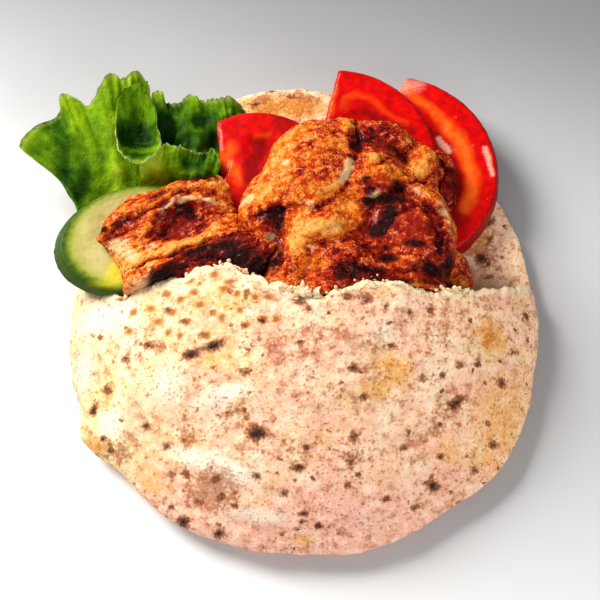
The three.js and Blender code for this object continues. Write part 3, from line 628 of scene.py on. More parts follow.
def build_crumbs():
    """Small lumps and wisps of crumb along the torn edge of the front layer."""
    draw = np.random.default_rng(17)
    points, faces = [], []

    def add(places):
        """A closed tube through rings of points."""
        first = sum(len(tube) for tube in points)
        last = first + len(places) - RING
        points.append(places)
        for start in range(first, last, RING):
            for side in range(RING):
                a, b = start + side, start + (side + 1) % RING
                faces.append((a, b, b + RING, a + RING))
        faces.append(tuple(range(first + RING - 1, first - 1, -1)))
        faces.append(tuple(range(last, last + RING)))

    turn = np.linspace(0, 2 * math.pi, RING + 1)[:-1]
    around = np.stack([np.cos(turn), np.sin(turn), turn * 0], axis=1)
    tilts = (0.3, 0.9, 1.6, 2.2, 2.8)
    ball = np.concatenate([around * math.sin(tilt) + (0, 0, math.cos(tilt)) for tilt in tilts])
    for x in CRUMBS_FROM + np.cumsum(draw.uniform(0.2, 1.6, CRUMBS)):
        y = mouth_y(x) + draw.normal(-0.5, 0.7)
        hit = TREES["pita_bread"].ray_cast(Vector((x, mouth_y(x) - 1.6, 80)), Vector((0, 0, -1)))[0]
        z = hit.z + draw.uniform(-2.6, 0.3)
        size = draw.uniform(0.25, 0.7) * draw.uniform(0.7, 1.5, 3)
        lump = ball * size * draw.uniform(0.7, 1.3, (len(ball), 1))
        add(lump + (x, y, z))
    for start, end, lift in WISPS:
        for _ in range(2):
            root = seen_at("pita_bread", *start) + draw.normal(0, 0.8, 3) * (1, 0.5, 0.3)
            tip = root + ((end[0] - start[0]) * MM_PER_PIXEL, (start[1] - end[1]) * MM_PER_PIXEL, lift)
            tip = root + (tip - root) * draw.uniform(0.3, 0.65) + draw.normal(0, 0.7, 3) * (1, 1, 0.5)
            rows = []
            for share in np.linspace(0, 1, WISP_ROWS):
                middle = root + (tip - root) * share + (0, 0, math.sin(share * math.pi) * 0.6)
                wide = 1.1 * (1 - share) ** 0.5 + 0.12
                curl = middle + (math.sin(3 * share + start[0]) * 0.5, 0, 0)
                rows += [curl + wide * np.array((cos, 0.12 * sin, 0.22 * sin)) for cos, sin, _ in around]
            add(np.array(rows))
    piece = add_piece("mouth_crumbs", np.concatenate(points), faces)
    dress(piece, crumb_finish(), "pita_bread")


# ---------- chicken ----------

# Broad areas of browning: pixel, half length, half width, how much lighter (+) or darker (-), turn.
MEAT_TONES = {
    "chicken_main": [
        (290, 150, 18, 12, 0.5, 55), (262, 190, 14, 7, 0.55, 60), (318, 170, 13, 12, -0.55),
        (330, 132, 12, 9, -0.35), (300, 205, 14, 6, -0.5), (350, 124, 6, 4, 0.4), (380, 138, 12, 8, -1.5, 10),
        (372, 167, 11, 6, 0.75), (418, 160, 10, 7, 0.55), (425, 176, 6, 4, 0.3), (420, 192, 8, 5, 0.5, -30),
        (390, 192, 9, 6, -1), (419, 225, 13, 11, -0.8), (440, 245, 7, 8, -0.5), (368, 232, 12, 12, -0.8),
        (343, 205, 8, 12, 0.8, 30), (303, 222, 10, 8, 0.7), (328, 230, 6, 5, 0.7),
        (300, 248, 12, 7, 0.7, -30), (322, 243, 7, 5, -0.7), (292, 270, 9, 7, -0.2), (320, 268, 7, 6, 0.3),
        (340, 276, 9, 6, -0.9), (368, 278, 10, 5, -1.3), (365, 255, 12, 5, -0.9), (410, 262, 13, 7, -0.6),
        (437, 268, 8, 6, -0.7), (448, 286, 8, 4, 0.3), (462, 262, 5, 6, -0.3), (258, 232, 9, 5, 0.3),
        (280, 225, 7, 8, -0.9), (262, 215, 8, 6, -0.6), (262, 262, 9, 8, -1.5),
    ],
    "chicken_left": [
        (134, 214, 14, 6, -0.4, 30), (172, 188, 14, 4, -0.7, 25), (215, 190, 10, 5, 0.1),
        (220, 215, 12, 9, 0.35), (150, 222, 8, 6, 0.4, 35), (178, 224, 8, 8, -0.9, 40),
        (186, 208, 5, 4, -0.9), (125, 225, 9, 5, -0.1), (120, 252, 8, 7, 1), (135, 268, 9, 9, 0.5),
        (160, 252, 10, 7, 0.4, 30), (185, 240, 12, 4, 0.2, 28), (180, 262, 14, 4, -1, 24),
        (165, 276, 9, 4, -1.2, 24), (205, 255, 12, 5, -0.5, 10), (238, 235, 10, 6, -1),
        (245, 257, 12, 8, -1.6), (143, 284, 8, 4, 0.3, 20),
    ],
    "chicken_back": [(450, 176, 18, 20, -1.6)],
}
# Charred spots, and pale bits of fat and gristle with some painted sheen: pixel, half length, half width,
# strength, turn.
MEAT_CHAR = {
    "chicken_main": [
        (388, 215, 4, 6.4, 1, -20), (378, 231, 4.6, 3.6, 1, 20), (384, 224, 3.4, 3.4, 1),
        (390, 199, 8, 2.6, 0.9), (398, 186, 4, 4, 0.6), (414, 243, 6, 1.9, 0.8, -6), (385, 248, 4, 2, 0.5),
        (388, 259, 5, 2.6, 0.75), (405, 280, 5, 1.8, 0.7), (450, 264, 2.8, 6, 0.8, -20),
        (368, 201, 6, 2, 0.75), (367, 178, 2.4, 2.4, 0.65), (404, 158, 3.4, 3.4, 0.6),
        (392, 150, 6, 2.6, 0.55), (278, 222, 3.4, 5, 0.5), (264, 264, 9, 8, 1), (340, 276, 4, 2.4, 0.6),
        (430, 282, 6, 2, 0.6),
    ],
    "chicken_left": [
        (202, 176, 8, 3.4, 1.1, -8), (188, 174, 5, 2.4, 0.8), (188, 210, 3, 3.6, 0.7),
        (240, 256, 10, 6, 0.8, -8), (262, 266, 9, 6, 0.85, -10), (225, 245, 10, 4, 0.8, 10),
        (163, 272, 8, 3, 0.75, 26), (198, 250, 9, 2.2, 0.85, 24), (103, 231, 2.6, 2, 0.7),
        (168, 282, 6, 2.2, 0.8, 20), (160, 195, 8, 1.6, 0.55, 25),
    ],
    "chicken_back": [(458, 190, 3, 3.4, 0.8)],
}
# Fat and gristle, and painted sheen: the marks at (444, 212) and (334, 226) are painted highlights on lobes.
MEAT_FAT_AND_SHEEN = {
    "chicken_main": [
        (349, 164, 2.4, 4.6, 1, -14), (345, 174, 2.2, 4, 1, -30), (341, 180, 1.6, 2.6, 0.7, -36),
        (247, 199, 3.2, 2.2, 1, 20), (334, 226, 4.6, 3.2, 0.35, 30), (308, 205, 4, 2, 0.5, -40),
        (282, 163, 3, 1.8, 0.5), (444, 212, 2.4, 8, 0.5, 18), (418, 190, 4, 2.4, 0.45, -30),
        (375, 194, 4, 2.6, 0.45), (316, 133, 1.4, 4.6, 0.4), (310, 246, 5, 1.8, 0.4, -30),
        (270, 236, 4, 2, 0.45, 30),
    ],
    "chicken_left": [
        (170, 203, 6, 1.4, 0.6, 42), (186, 198, 6, 1.4, 0.7, 10), (208, 200, 7, 1.4, 0.65, -12),
        (120, 247, 6, 4, 0.9, -20), (130, 256, 6, 3.6, 0.8, -40), (150, 247, 6, 2, 0.5, 30),
        (138, 284, 8, 3, 0.6, 20), (150, 268, 6, 1.6, 0.5, 60),
    ],
    "chicken_back": [],
}
# Smooth, glazed patches of dark sauce.
MEAT_GLAZE = {
    "chicken_main": [
        (412, 226, 13, 8, 1, -15), (436, 226, 4, 8, 0.6, 20), (384, 146, 10, 4, 0.8), (362, 232, 6, 5, 0.7),
        (408, 272, 12, 5, 0.5),
    ],
    "chicken_left": [(176, 228, 8, 9, 0.9, 40)],
    "chicken_back": [(446, 178, 9, 9, 1)],
}
# Grooves and ridges of the lobes: a line of pixels, its half width, and how far it stands out.
MEAT_FOLDS = {
    "chicken_main": [
        ((354, 122), (357, 140), (354, 154), 1.2, -1.4), ((405, 150), (406, 160), (400, 176), 1.2, -1),
        ((366, 180), (372, 200), (368, 222), (360, 244), 2, -1.6),
        ((418, 184), (432, 190), (443, 205), (450, 225), (452, 245), 1.8, 1),
        ((412, 190), (428, 200), (438, 216), (443, 236), (440, 252), 1.4, -1.3),
        ((296, 203), (312, 210), (322, 222), 1.4, 0.8), ((322, 228), (334, 220), (342, 222), 1.8, 1),
        ((300, 258), (312, 246), (326, 256), 1.2, -0.9), ((292, 248), (304, 240), (318, 250), 1.8, 0.9),
        ((282, 256), (300, 262), (306, 280), 1.4, -1.1), ((330, 262), (340, 272), (352, 276), 1.4, -1),
        ((402, 252), (420, 256), (440, 254), 1.4, -1.1), ((424, 262), (430, 272), (446, 278), 1.2, -1),
        ((240, 228), (256, 236), (276, 236), 1.4, -1),
    ],
    "chicken_left": [
        ((106, 226), (130, 208), (160, 194), (192, 178), 2.2, 0.7),
        ((152, 226), (163, 210), (176, 200), (200, 198), (228, 208), 1.6, 1.3),
        ((160, 236), (170, 218), (184, 208), (194, 214), 2, -1.6),
        ((104, 238), (130, 238), (152, 236), 1, -1),
        ((168, 240), (190, 234), (206, 222), (226, 212), 1.2, -1),
        ((128, 254), (156, 246), (186, 236), (214, 222), (240, 210), 1.8, 1),
        ((142, 270), (168, 260), (196, 250), (222, 246), 1.6, 0.8),
        ((146, 280), (170, 270), (200, 258), (230, 262), 1.2, -1.2),
        ((126, 262), (136, 274), (150, 286), 1.2, -0.9), ((114, 248), (126, 262), (128, 284), 1.4, 0.7),
    ],
    "chicken_back": [((444, 160), (448, 178), (444, 194), 1.6, -1)],
}
# Edges where one flap lies over the next, with a groove between them: a line of pixels with the upper flap on
# its left, and how high the flap stands.
MEAT_LEDGES = {
    "chicken_main": [
        ((318, 203), (336, 192), (349, 172), (352, 150), (356, 124), 1),
        ((354, 155), (378, 160), (402, 152), (410, 140), 1.4),
        ((398, 186), (418, 180), (434, 172), (446, 160), 1.2),
        ((285, 212), (281, 228), (289, 242), (282, 258), 0.9),
        ((342, 250), (362, 264), (388, 270), (414, 268), (440, 262), 0.9),
        ((262, 212), (284, 206), (306, 204), 0.8), ((318, 238), (334, 241), (350, 232), 0.8),
        ((400, 214), (416, 207), (430, 220), (435, 240), -0.9),
    ],
    "chicken_left": [
        ((108, 232), (135, 216), (158, 204), (184, 190), (214, 192), 1),
        ((128, 256), (156, 248), (186, 238), (214, 224), (240, 212), -0.9),
        ((140, 264), (168, 254), (196, 244), (228, 234), 1.1),
        ((152, 226), (162, 210), (178, 201), (204, 200), 0.8),
    ],
    "chicken_back": [((440, 176), (452, 168), (462, 172), 0.8)],
}
LEDGE_REACH = 4
LINE_WANDER = 1.6  # how far folds and ledges stray from their lines
MEAT_MARK_DEPTH = 12
MEAT_CELLS = {"chicken_main": 0.62, "chicken_left": 0.5, "chicken_back": 0.35}  # the fine meshes' face sizes
GRAIN_TURN = 30  # the fibres of the pulled piece run this way, in degrees
FIBRE_STRETCH = {"chicken_left": 0.3}  # grains per millimetre along the fibres, against across them


def meat_finish():
    meat = Finish("spiced_grilled_chicken")
    speck = meat.noise(0.75, 2)
    small = meat.noise(2.0, 4)
    broad = meat.noise(6.5, 3)
    fibre = (meat.noise(1.1, 3, meat.stretched(GRAIN_TURN, 5)) - 0.5) * meat.marked("fibrous")
    glazed = meat.marked("glazed").step(0.0, 0.8)
    rough = (small - 0.5) * 1.1 + (broad - 0.5) * 0.8 + (speck - 0.5) * 0.6 + fibre * 0.9
    # Painted light and shade: the relief's ridges are painted lighter, and its grooves and the gaps between
    # grains darker.
    rough = rough + meat.marked("raised") * 0.26
    tone = 0.55 + meat.marked("tone") * 0.36 + rough * (1 - glazed * 0.65)
    browning = [(0.0, 0x240303), (0.2, 0x660804), (0.4, 0x9A2006), (0.57, 0xC04408), (0.74, 0xD86E10)]
    # Pale fat and gristle, and painted sheen on some lobes.
    fat = meat.marked("fat") + (small - 0.5) * 0.9
    soot = meat.marked("char") * (small * 3 - 0.35) + (small - 0.5) * 0.5 + (speck - 0.5) * 0.35
    colour = meat.paint(
        meat.ramp(tone, browning + [(1.0, 0xEB9E46)]),
        # Painted highlights: small pale pink specks on the lighter meat stand for glints of oil.
        ((speck + small * 0.6).step(0.86, 1.0) * tone.step(0.3, 0.6) * 0.45, 0xEFAE7C),
        (fat.step(0.1, 0.6) * 0.8, 0xE9C48C),
        (soot.step(0.12, 0.4) * 0.75, 0x440A05),
        (soot.step(0.3, 0.62) * 0.92, 0x0E0504),
    )
    oil = meat.noise(3.0, 2).step(0.42, 0.6)
    height = (small * 1.1 + speck * 0.7 + meat.noise(0.4, 2) * 0.25) * (1 - glazed * 0.6) + fibre * 1.2
    return meat.set(
        Base_Color=colour,
        Roughness=0.5 - oil * 0.16,
        Specular_IOR_Level=0.05,
        Coat_Weight=oil * 0.15 * (1 - soot.step(0.2, 0.6)),
        Coat_Roughness=0.14,
        Normal=meat.bump(height, 0.85),
    )


def build_chicken(node, seed):
    piece = fine_copy(node.replace("chicken", "grilled_chicken"), node, MEAT_CELLS[node])
    meat = Surface(piece, node)
    meat.smooth(rounds=6)
    points = meat.points
    relief = np.zeros(len(points))
    for *line, half_width, lift in MEAT_FOLDS[node]:
        relief += 0.7 * lift * meat.band(line, half_width, LINE_WANDER)
    for *line, lift in MEAT_LEDGES[node]:
        relief += lift * meat.ledge(line, LEDGE_REACH, LINE_WANDER) - 0.8 * meat.band(line, 1.3, LINE_WANDER)
    points[:, 2] += relief
    folds = 1 - 2 * np.abs(noise(points, 7, seed))
    crag = 0.5 * folds + 0.6 * noise(points, 3.6, seed + 1)
    meat.push(0.5 * crag - 0.1)
    along, across = turned(points, GRAIN_TURN)
    drawn_out = np.stack([along * FIBRE_STRETCH.get(node, 1), across, points[:, 2]], axis=1)
    bits = grains(drawn_out, 1.7, seed + 2)
    glaze = meat.spots(MEAT_GLAZE[node], MEAT_MARK_DEPTH)
    meat.push((0.5 * bits + 0.3 * noise(points, 1.3, seed + 3) - 0.25) * (1 - 0.75 * glaze))
    # Painted light and shade from the relief's height: grooves and gaps between grains come out darker, ridges
    # lighter.
    meat.mark("raised", crag * 0.5 + bits - 0.4 + 0.8 * relief)
    meat.mark("fibrous", np.full(len(points), 1.0 if node in FIBRE_STRETCH else 0.35))
    meat.mark("tone", np.clip(meat.tones(MEAT_TONES[node], 0.6, MEAT_MARK_DEPTH), -0.95, 1.2))
    meat.mark("char", meat.spots(MEAT_CHAR[node]))
    # Fat, gristle and painted sheen.
    meat.mark("fat", meat.spots(MEAT_FAT_AND_SHEEN[node]))
    meat.mark("glazed", glaze)
    meat.keep()
    dress(piece, meat_finish(), node)


# ---------- tomato ----------

TOMATOES = {
    "tomato_right": {"middle": (31.3, 48.6, 13.2), "radius": 37},
    "tomato_middle": {"middle": (12.3, 49.6, 20.8), "radius": 34.2},
    "tomato_left": {"middle": (-16.3, 38.9, 17.5), "radius": 30},
}
# Paler flesh and dark seed jelly, as lines of pixels with half width and strength.
ORANGE_FLESH = {
    "tomato_right": [
        ((404, 86), (416, 98), (432, 110), (446, 124), 2.6, 1),
        ((446, 124), (458, 138), (467, 158), (472, 180), (470, 200), (464, 208), 3, 1.2),
    ],
    "tomato_middle": [
        ((342, 108), (348, 98), (358, 94), (370, 98), (382, 108), (394, 118), (406, 124), 1.7, 0.55),
        ((331, 92), (330, 112), 2, 0.9),
    ],
    "tomato_left": [
        ((232, 146), (226, 158), (234, 172), (240, 180), 2.6, 1), ((222, 150), (222, 168), 1.6, 0.8),
        ((256, 136), (268, 134), 1.8, 0.6),
    ],
}
DARK_FLESH = {
    "tomato_right": [
        ((446, 158), (452, 176), (450, 200), (452, 226), 4, 1), ((420, 122), (436, 136), 2.5, 0.5),
    ],
    "tomato_middle": [((356, 112), (372, 114), (392, 124), (412, 134), 2.2, 0.8)],
    "tomato_left": [((262, 146), (254, 160), (250, 178), 3.2, 1), ((284, 118), (286, 130), 4, 0.6)],
}
# Pale flesh at the right slice's cut end, and painted highlights: the pale streak along the right slice's outer
# edge and the pale wedge in its middle. Thin pale streaks lie on the other slices.
PALE_FLESH_AND_HIGHLIGHTS = {
    "tomato_right": [
        ((402, 90), (408, 84), (418, 84), 4, 0.6), ((485, 149), (489, 160), (491, 175), 1.2, 0.85),
        ((439, 138), (443, 145), (449, 151), 1.3, 1.1),
    ],
    "tomato_middle": [((334, 76), (328, 100), 1.2, 0.5)],
    "tomato_left": [((219, 124), (221, 150), 0.8, 0.5)],
}


def tomato_finish(node):
    tomato = Finish(node + "_flesh")
    streaks = tomato.noise(2.6, 4)
    fine = tomato.noise(0.8, 3)
    orange = tomato.marked("orange") * (0.4 + streaks * 1.2)
    dark = tomato.marked("dark") + (streaks - 0.5) * 0.5
    # Pale flesh, and painted highlights.
    pale = tomato.marked("pale") * (0.3 + fine * 1.3)
    skin = (tomato.marked("share") + (fine - 0.5) * 0.012).step(0.962, 0.982)
    colour = tomato.paint(
        tomato.blend(streaks.step(0.35, 0.65), 0xD40200, 0xB40001),
        (orange.step(0.15, 1.0), 0xF04806),
        (orange.step(0.8, 1.3) * 0.5, 0xFF7420),
        (dark.step(0.1, 0.9) * 0.8, 0x7C0003),
        (pale.step(0.15, 1.0) * 0.85, 0xFFB49A),
        (tomato.freckles(5.0, 0.12, 0.4) * 0.45, 0xFF8656),
        (skin * 0.85, 0x7E0004),
    )
    relief = (streaks * 0.6 + fine * 0.3 + tomato.noise(7, 2)) * (1 - skin)
    return tomato.set(
        Base_Color=colour,
        Roughness=0.5,
        Specular_IOR_Level=0.06,
        Coat_Weight=0.15,
        Coat_Roughness=0.07,
        Normal=tomato.bump(relief, 0.22),
    )


def build_tomato(node, seed):
    piece = fine_copy(node.replace("tomato", "tomato_slice"), node, cell=0.55)
    flesh = Surface(piece, node)
    flesh.smooth(rounds=4)
    flesh.push(0.2 * noise(flesh.points, 6, seed) + 0.1 * noise(flesh.points, 2.4, seed + 1))
    away = flesh.points - np.array(TOMATOES[node]["middle"])
    flesh.mark("share", np.hypot(away[:, 0], away[:, 1]) / TOMATOES[node]["radius"])
    for name, lines in (("orange", ORANGE_FLESH), ("dark", DARK_FLESH), ("pale", PALE_FLESH_AND_HIGHLIGHTS)):
        strength = [power * flesh.band(line, half_width, 1.0) for *line, half_width, power in lines[node]]
        flesh.mark(name, np.max(strength, axis=0))
    flesh.keep()
    dress(piece, tomato_finish(node), node)


# ---------- cucumber ----------

CUCUMBER = {"middle": (-54.9, 21.4), "half_long": 28, "half_short": 20, "turn": 14}
YELLOW_SEEDS = [(118, 272, 8, 6, 1, 60), (108, 284, 9, 2.4, 0.5)]


def cucumber_finish():
    cucumber = Finish("cucumber_flesh")
    mottle = cucumber.noise(1.6, 4)
    broad = cucumber.noise(6, 3)
    edge = cucumber.marked("inward") - cucumber.marked("skin_width") + (mottle - 0.5) * 2.0
    colour = cucumber.paint(
        cucumber.blend(broad.step(0.4, 0.62), 0xBAAF6E, 0xAEA25C),
        (edge.step(5.2, 1.6) * 0.85, 0x929C2A),
        (edge.step(2.6, 0.6) * 0.95, 0x4E6808),
        (edge.step(1.0, -0.4) * 0.95, 0x2C4602),
        (cucumber.marked("yellow").step(0.0, 0.8) * 0.85, 0xD6C91E),
        (cucumber.freckles(4.5, 0.13, 0.5) * 0.5, 0x8F8640),
    )
    return cucumber.set(
        Base_Color=colour,
        Roughness=0.55,
        Specular_IOR_Level=0.12,
        Coat_Weight=0.05,
        Coat_Roughness=0.2,
        Normal=cucumber.bump(mottle * 0.6 + cucumber.noise(0.6, 2) * 0.3, 0.35),
    )


def build_cucumber():
    piece = fine_copy("cucumber", "cucumber_slice", cell=0.5)
    slab = Surface(piece, "cucumber_slice")
    slab.smooth(rounds=3)
    slab.push(0.18 * noise(slab.points, 5, 81) + 0.06 * noise(slab.points, 1.6, 82))
    along, across = turned(slab.points[:, :2] - np.array(CUCUMBER["middle"]), CUCUMBER["turn"])
    along, across = along / CUCUMBER["half_long"], across / CUCUMBER["half_short"]
    slab.mark("inward", (1 - np.hypot(along, across)) * CUCUMBER["half_short"] * 1.15)
    slab.mark("skin_width", 1.6 * smooth_step(-along - 0.5 * across, -0.3, 1.0))
    slab.mark("yellow", slab.spots(YELLOW_SEEDS))
    slab.keep()
    dress(piece, cucumber_finish(), "cucumber_slice")


# ---------- lettuce ----------

# Each leaf runs from a line in the sandwich to its frilled margin. Points are x, y, z. bow, crinkle, blister
# and pleat are how far its middle and its unevenness stand out, and tone is how light it is.
LEAVES = {
    "lettuce_fan": {
        "base": [(-77, 31, 10.5), (-68, 29, 9.5), (-59, 30, 9), (-50, 33, 9)],
        "margin": [
            (-78.5, 36.5, 13), (-86.3, 47.3, 16), (-98, 56.3, 19), (-93.5, 61, 23), (-85, 68, 21),
            (-84, 73.5, 24), (-79, 72.8, 22), (-75, 70.6, 21), (-71, 76, 24), (-67, 81.5, 25),
            (-62.5, 80.5, 22.5), (-58.5, 83.5, 23), (-54, 79, 19),
        ],
        "bow": 2.5, "crinkle": 0.8, "blister": 0.5, "pleat": 0.35, "seed": 71, "tone": 0.18,
    },
    "lettuce_back": {
        "base": [(-50, 36, 8.5), (-42, 36, 8.5), (-34, 36, 8.5), (-26, 38, 8.5)],
        "margin": [
            (-55, 75, 14), (-51, 78.5, 17), (-48, 75, 14), (-44, 74, 16), (-40, 76, 19), (-35, 75.2, 15),
            (-31, 74.8, 18), (-26.5, 75, 19), (-20.5, 71.5, 15), (-18, 65, 13),
        ],
        "bow": 3, "crinkle": 1.3, "blister": 2.2, "pleat": 0.1, "seed": 73, "tone": -0.8,
    },
    "lettuce_cup": {
        "base": [(-57, 61, 22), (-57.4, 60, 21.6), (-57.3, 59, 21.5), (-57, 58, 21.5)],
        "margin": [
            (-54, 78, 25), (-58, 77, 26), (-62.5, 73, 27), (-64, 65, 27.5), (-63.5, 54, 28),
            (-61, 48.5, 28.5), (-56, 46, 29), (-51.5, 48, 28.5), (-49, 54, 27), (-50.5, 62, 25),
            (-52, 70, 24), (-57, 77, 23),
        ],
        "bow": -2, "crinkle": 0.8, "blister": 0.4, "pleat": 0.1, "seed": 75, "tone": -0.1, "rim_ends": (54, 66),
    },
    "lettuce_ruffle": {
        "base": [(-56, 38, 16), (-47, 39, 15), (-38, 40, 14), (-31, 41, 14)],
        "margin": [
            (-56, 47, 23), (-51, 52, 25), (-47.5, 55, 23), (-43, 53.5, 25), (-40, 53.5, 23), (-37, 51.5, 24),
            (-33.5, 52.5, 22), (-31, 53, 24), (-28.5, 47, 22),
        ],
        "bow": 2, "crinkle": 1.3, "blister": 1.2, "pleat": 0.3, "seed": 77, "tone": 0.0,
    },
}
# Lighter and darker greens of the leaves, with painted shade in folds and the cup's hollow and painted
# highlights on lit margins. How much lighter (+) or darker (-): pixel, half length, half width, strength, turn.
LEAF_TONE_AND_SHADE = {
    "lettuce_fan": [
        (62, 150, 9, 18, -1.3, 20), (48, 135, 8, 6, -0.3, 30), (76, 112, 7, 9, 0.5), (92, 158, 7, 16, 0.2),
        (114, 174, 5, 10, 0.8), (84, 182, 5, 10, -1.2), (70, 190, 5, 8, -0.7, 20), (100, 185, 3, 8, -0.4),
        (106, 120, 10, 10, 0.3), (122, 82, 7, 5, 0.5), (97, 132, 5, 4, -0.3), (135, 78, 5, 3, 0.6),
        (30, 138, 5, 3, 0.4, 30),
    ],
    "lettuce_back": [
        (190, 100, 6, 5, 1), (222, 104, 11, 5, 0.9), (172, 122, 10, 8, -0.6), (186, 112, 4, 4, 0.4),
        (195, 130, 5, 5, 0.3), (208, 122, 6, 8, -0.7), (155, 95, 7, 4, 0.9), (160, 130, 6, 8, -1.3),
        (205, 142, 10, 4, -0.9), (175, 140, 6, 4, -0.7),
    ],
    "lettuce_cup": [
        (136, 147, 8, 7, -2.2), (125, 133, 4, 6, -1.8), (148, 134, 5, 5, -0.9), (135, 105, 6, 12, -0.2),
        (139, 130, 3.5, 9, -1.6), (144, 100, 2.4, 12, 0.5, -10), (136, 143, 7, 1, 1.2),
        (137, 164, 10, 2.2, 1.2),
    ],
    "lettuce_ruffle": [
        (148, 164, 9, 8, 1.2), (170, 168, 6, 6, 0.6), (195, 165, 12, 6, -0.7), (180, 160, 8, 3, -0.4),
        (212, 160, 6, 8, -0.4),
    ],
}
LEAF_THICK = 0.6
LEAF_ROWS = 44
LEAF_COLUMNS = 130
FRILL_SHARE = 3  # the margin's frill grows with this power of the way from the base
# The pale rim is partly the margin's paler green and partly a painted highlight along the edge.
WHOLE_RIM = (98, 99)  # the pale rim fades between these y, which lie past the other leaves
LEAF_STEP = 0.01


def curve_through(points):
    """A smooth curve through points, as a function of a share from 0 to 1 or of many shares."""
    places = np.array(points, float)
    ends = [2 * places[0] - places[1]], [2 * places[-1] - places[-2]]
    places = np.concatenate([ends[0], places, ends[1]])
    spans = ((places[1:] - places[:-1]) ** 2).sum(axis=1) ** 0.25

    def at(share):
        where = np.clip(np.asarray(share, float) * (len(points) - 1), 0, len(points) - 1 - 1e-9)
        start = where.astype(int)
        part = (where - start)[:, None]
        before, here, there, after = (places[start + i] for i in range(4))
        first, middle, last = (spans[start + i][:, None] for i in range(3))
        leave = ((here - before) / first - (there - before) / (first + middle)) * middle + there - here
        arrive = there - here + ((after - there) / last - (after - here) / (middle + last)) * middle
        bend = 3 * (there - here) - 2 * leave - arrive
        return here + part * (leave + part * (bend + part * (2 * (here - there) + leave + arrive)))

    return at


def leaf_middle(leaf, u, v):
    """Places on the leaf's middle: u runs from its base to the margin, v along the margin."""
    calm_points = [p for i, p in enumerate(leaf["margin"]) if i % 4 == 0 or i == len(leaf["margin"]) - 1]
    base, calm, margin = (curve_through(line)(v) for line in (leaf["base"], calm_points, leaf["margin"]))
    u = u[:, None]
    places = base + (calm - base) * u + (margin - calm) * u**FRILL_SHARE
    rise = np.sin(math.pi * u[:, 0])
    flat = places * (1, 1, 0)
    places[:, 2] += leaf["bow"] * rise + 1.1 * noise(flat, 9, leaf["seed"]) * rise
    return places


def leaf_finish():
    leaf = Finish("lettuce_leaf")
    small = leaf.noise(2.2, 4)
    broad = leaf.noise(9, 3)
    # The marked tone holds the leaves' own greens together with painted shade and painted highlights.
    tone = 0.49 + leaf.marked("tone") * 0.3 + (small - 0.5) * 0.4 + (broad - 0.5) * 0.4
    # Painted light and shade: blisters and pleats are painted lighter on top and darker in their hollows.
    tone = tone + leaf.marked("raised") * 0.2
    stops = [(0.0, 0x0E2A00), (0.25, 0x2C5400), (0.5, 0x587F00), (0.72, 0x80A404), (1.0, 0xB4CC3C)]
    vein = leaf.marked("vein").most(leaf.net(3.4) * 0.3).most(leaf.net(1.7) * 0.15)
    # The pale rim: partly the margin's paler green, partly a painted highlight along the edge.
    rim = leaf.marked("rim") * (small * 2.2 - 0.4).step(0.0, 1.0)
    colour = leaf.paint(
        leaf.ramp(tone, stops),
        (vein * tone.step(0.1, 0.6) * 0.4, 0x9EC030),
        (rim * 0.6, 0xC8DA74),
    )
    return leaf.set(
        Base_Color=colour,
        Roughness=0.5,
        Specular_IOR_Level=0.05,
        Subsurface_Weight=0.1,
        Subsurface_Scale=0.002,
        Normal=leaf.bump(small * 0.8 + leaf.noise(0.8, 2) * 0.3 + vein * 0.8, 0.4),
    )


def leaf_veins(u, v, seed):
    """Main veins fan out from the base, and a net of small ones lies between them. 1 on a vein."""
    line = np.stack([u * 3, v * 9, u * 0], axis=1)
    wander = 0.3 * noise(line, 1.0, seed)
    main = np.abs((v * 5 + wander + 0.5) % 1 - 0.5) / 5
    main = np.exp(-((main / 0.005) ** 2)) * (0.8 - 0.7 * u)
    branch = np.abs((v * 13 + u * 4 * np.sign((v * 5 + 0.5) % 1 - 0.5) + wander * 5) % 1 - 0.5)
    branch = np.exp(-((branch / 0.06) ** 2)) * 0.3 * smooth_step(u, 0.15, 0.5)
    return np.maximum(main, branch)


def unit(vectors):
    return vectors / (np.linalg.norm(vectors, axis=1)[:, None] + 1e-9)


def leaf_faces(rows, columns):
    """The faces of a closed sheet: its front's points come first, row by row, and then its back's."""
    faces = []
    sheet = rows * columns
    for row in range(rows - 1):
        for a in range(row * columns, row * columns + columns - 1):
            faces.append((a, a + 1, a + columns + 1, a + columns))
            faces.append((a + sheet, a + sheet + columns, a + sheet + columns + 1, a + sheet + 1))
    border = list(range(0, sheet, columns)) + list(range(sheet - columns + 1, sheet))
    border += list(range(sheet - columns - 1, 0, -columns)) + list(range(columns - 2, 0, -1))
    pairs = zip(border, border[1:] + border[:1])
    return faces + [(here, here + sheet, there + sheet, there) for here, there in pairs]


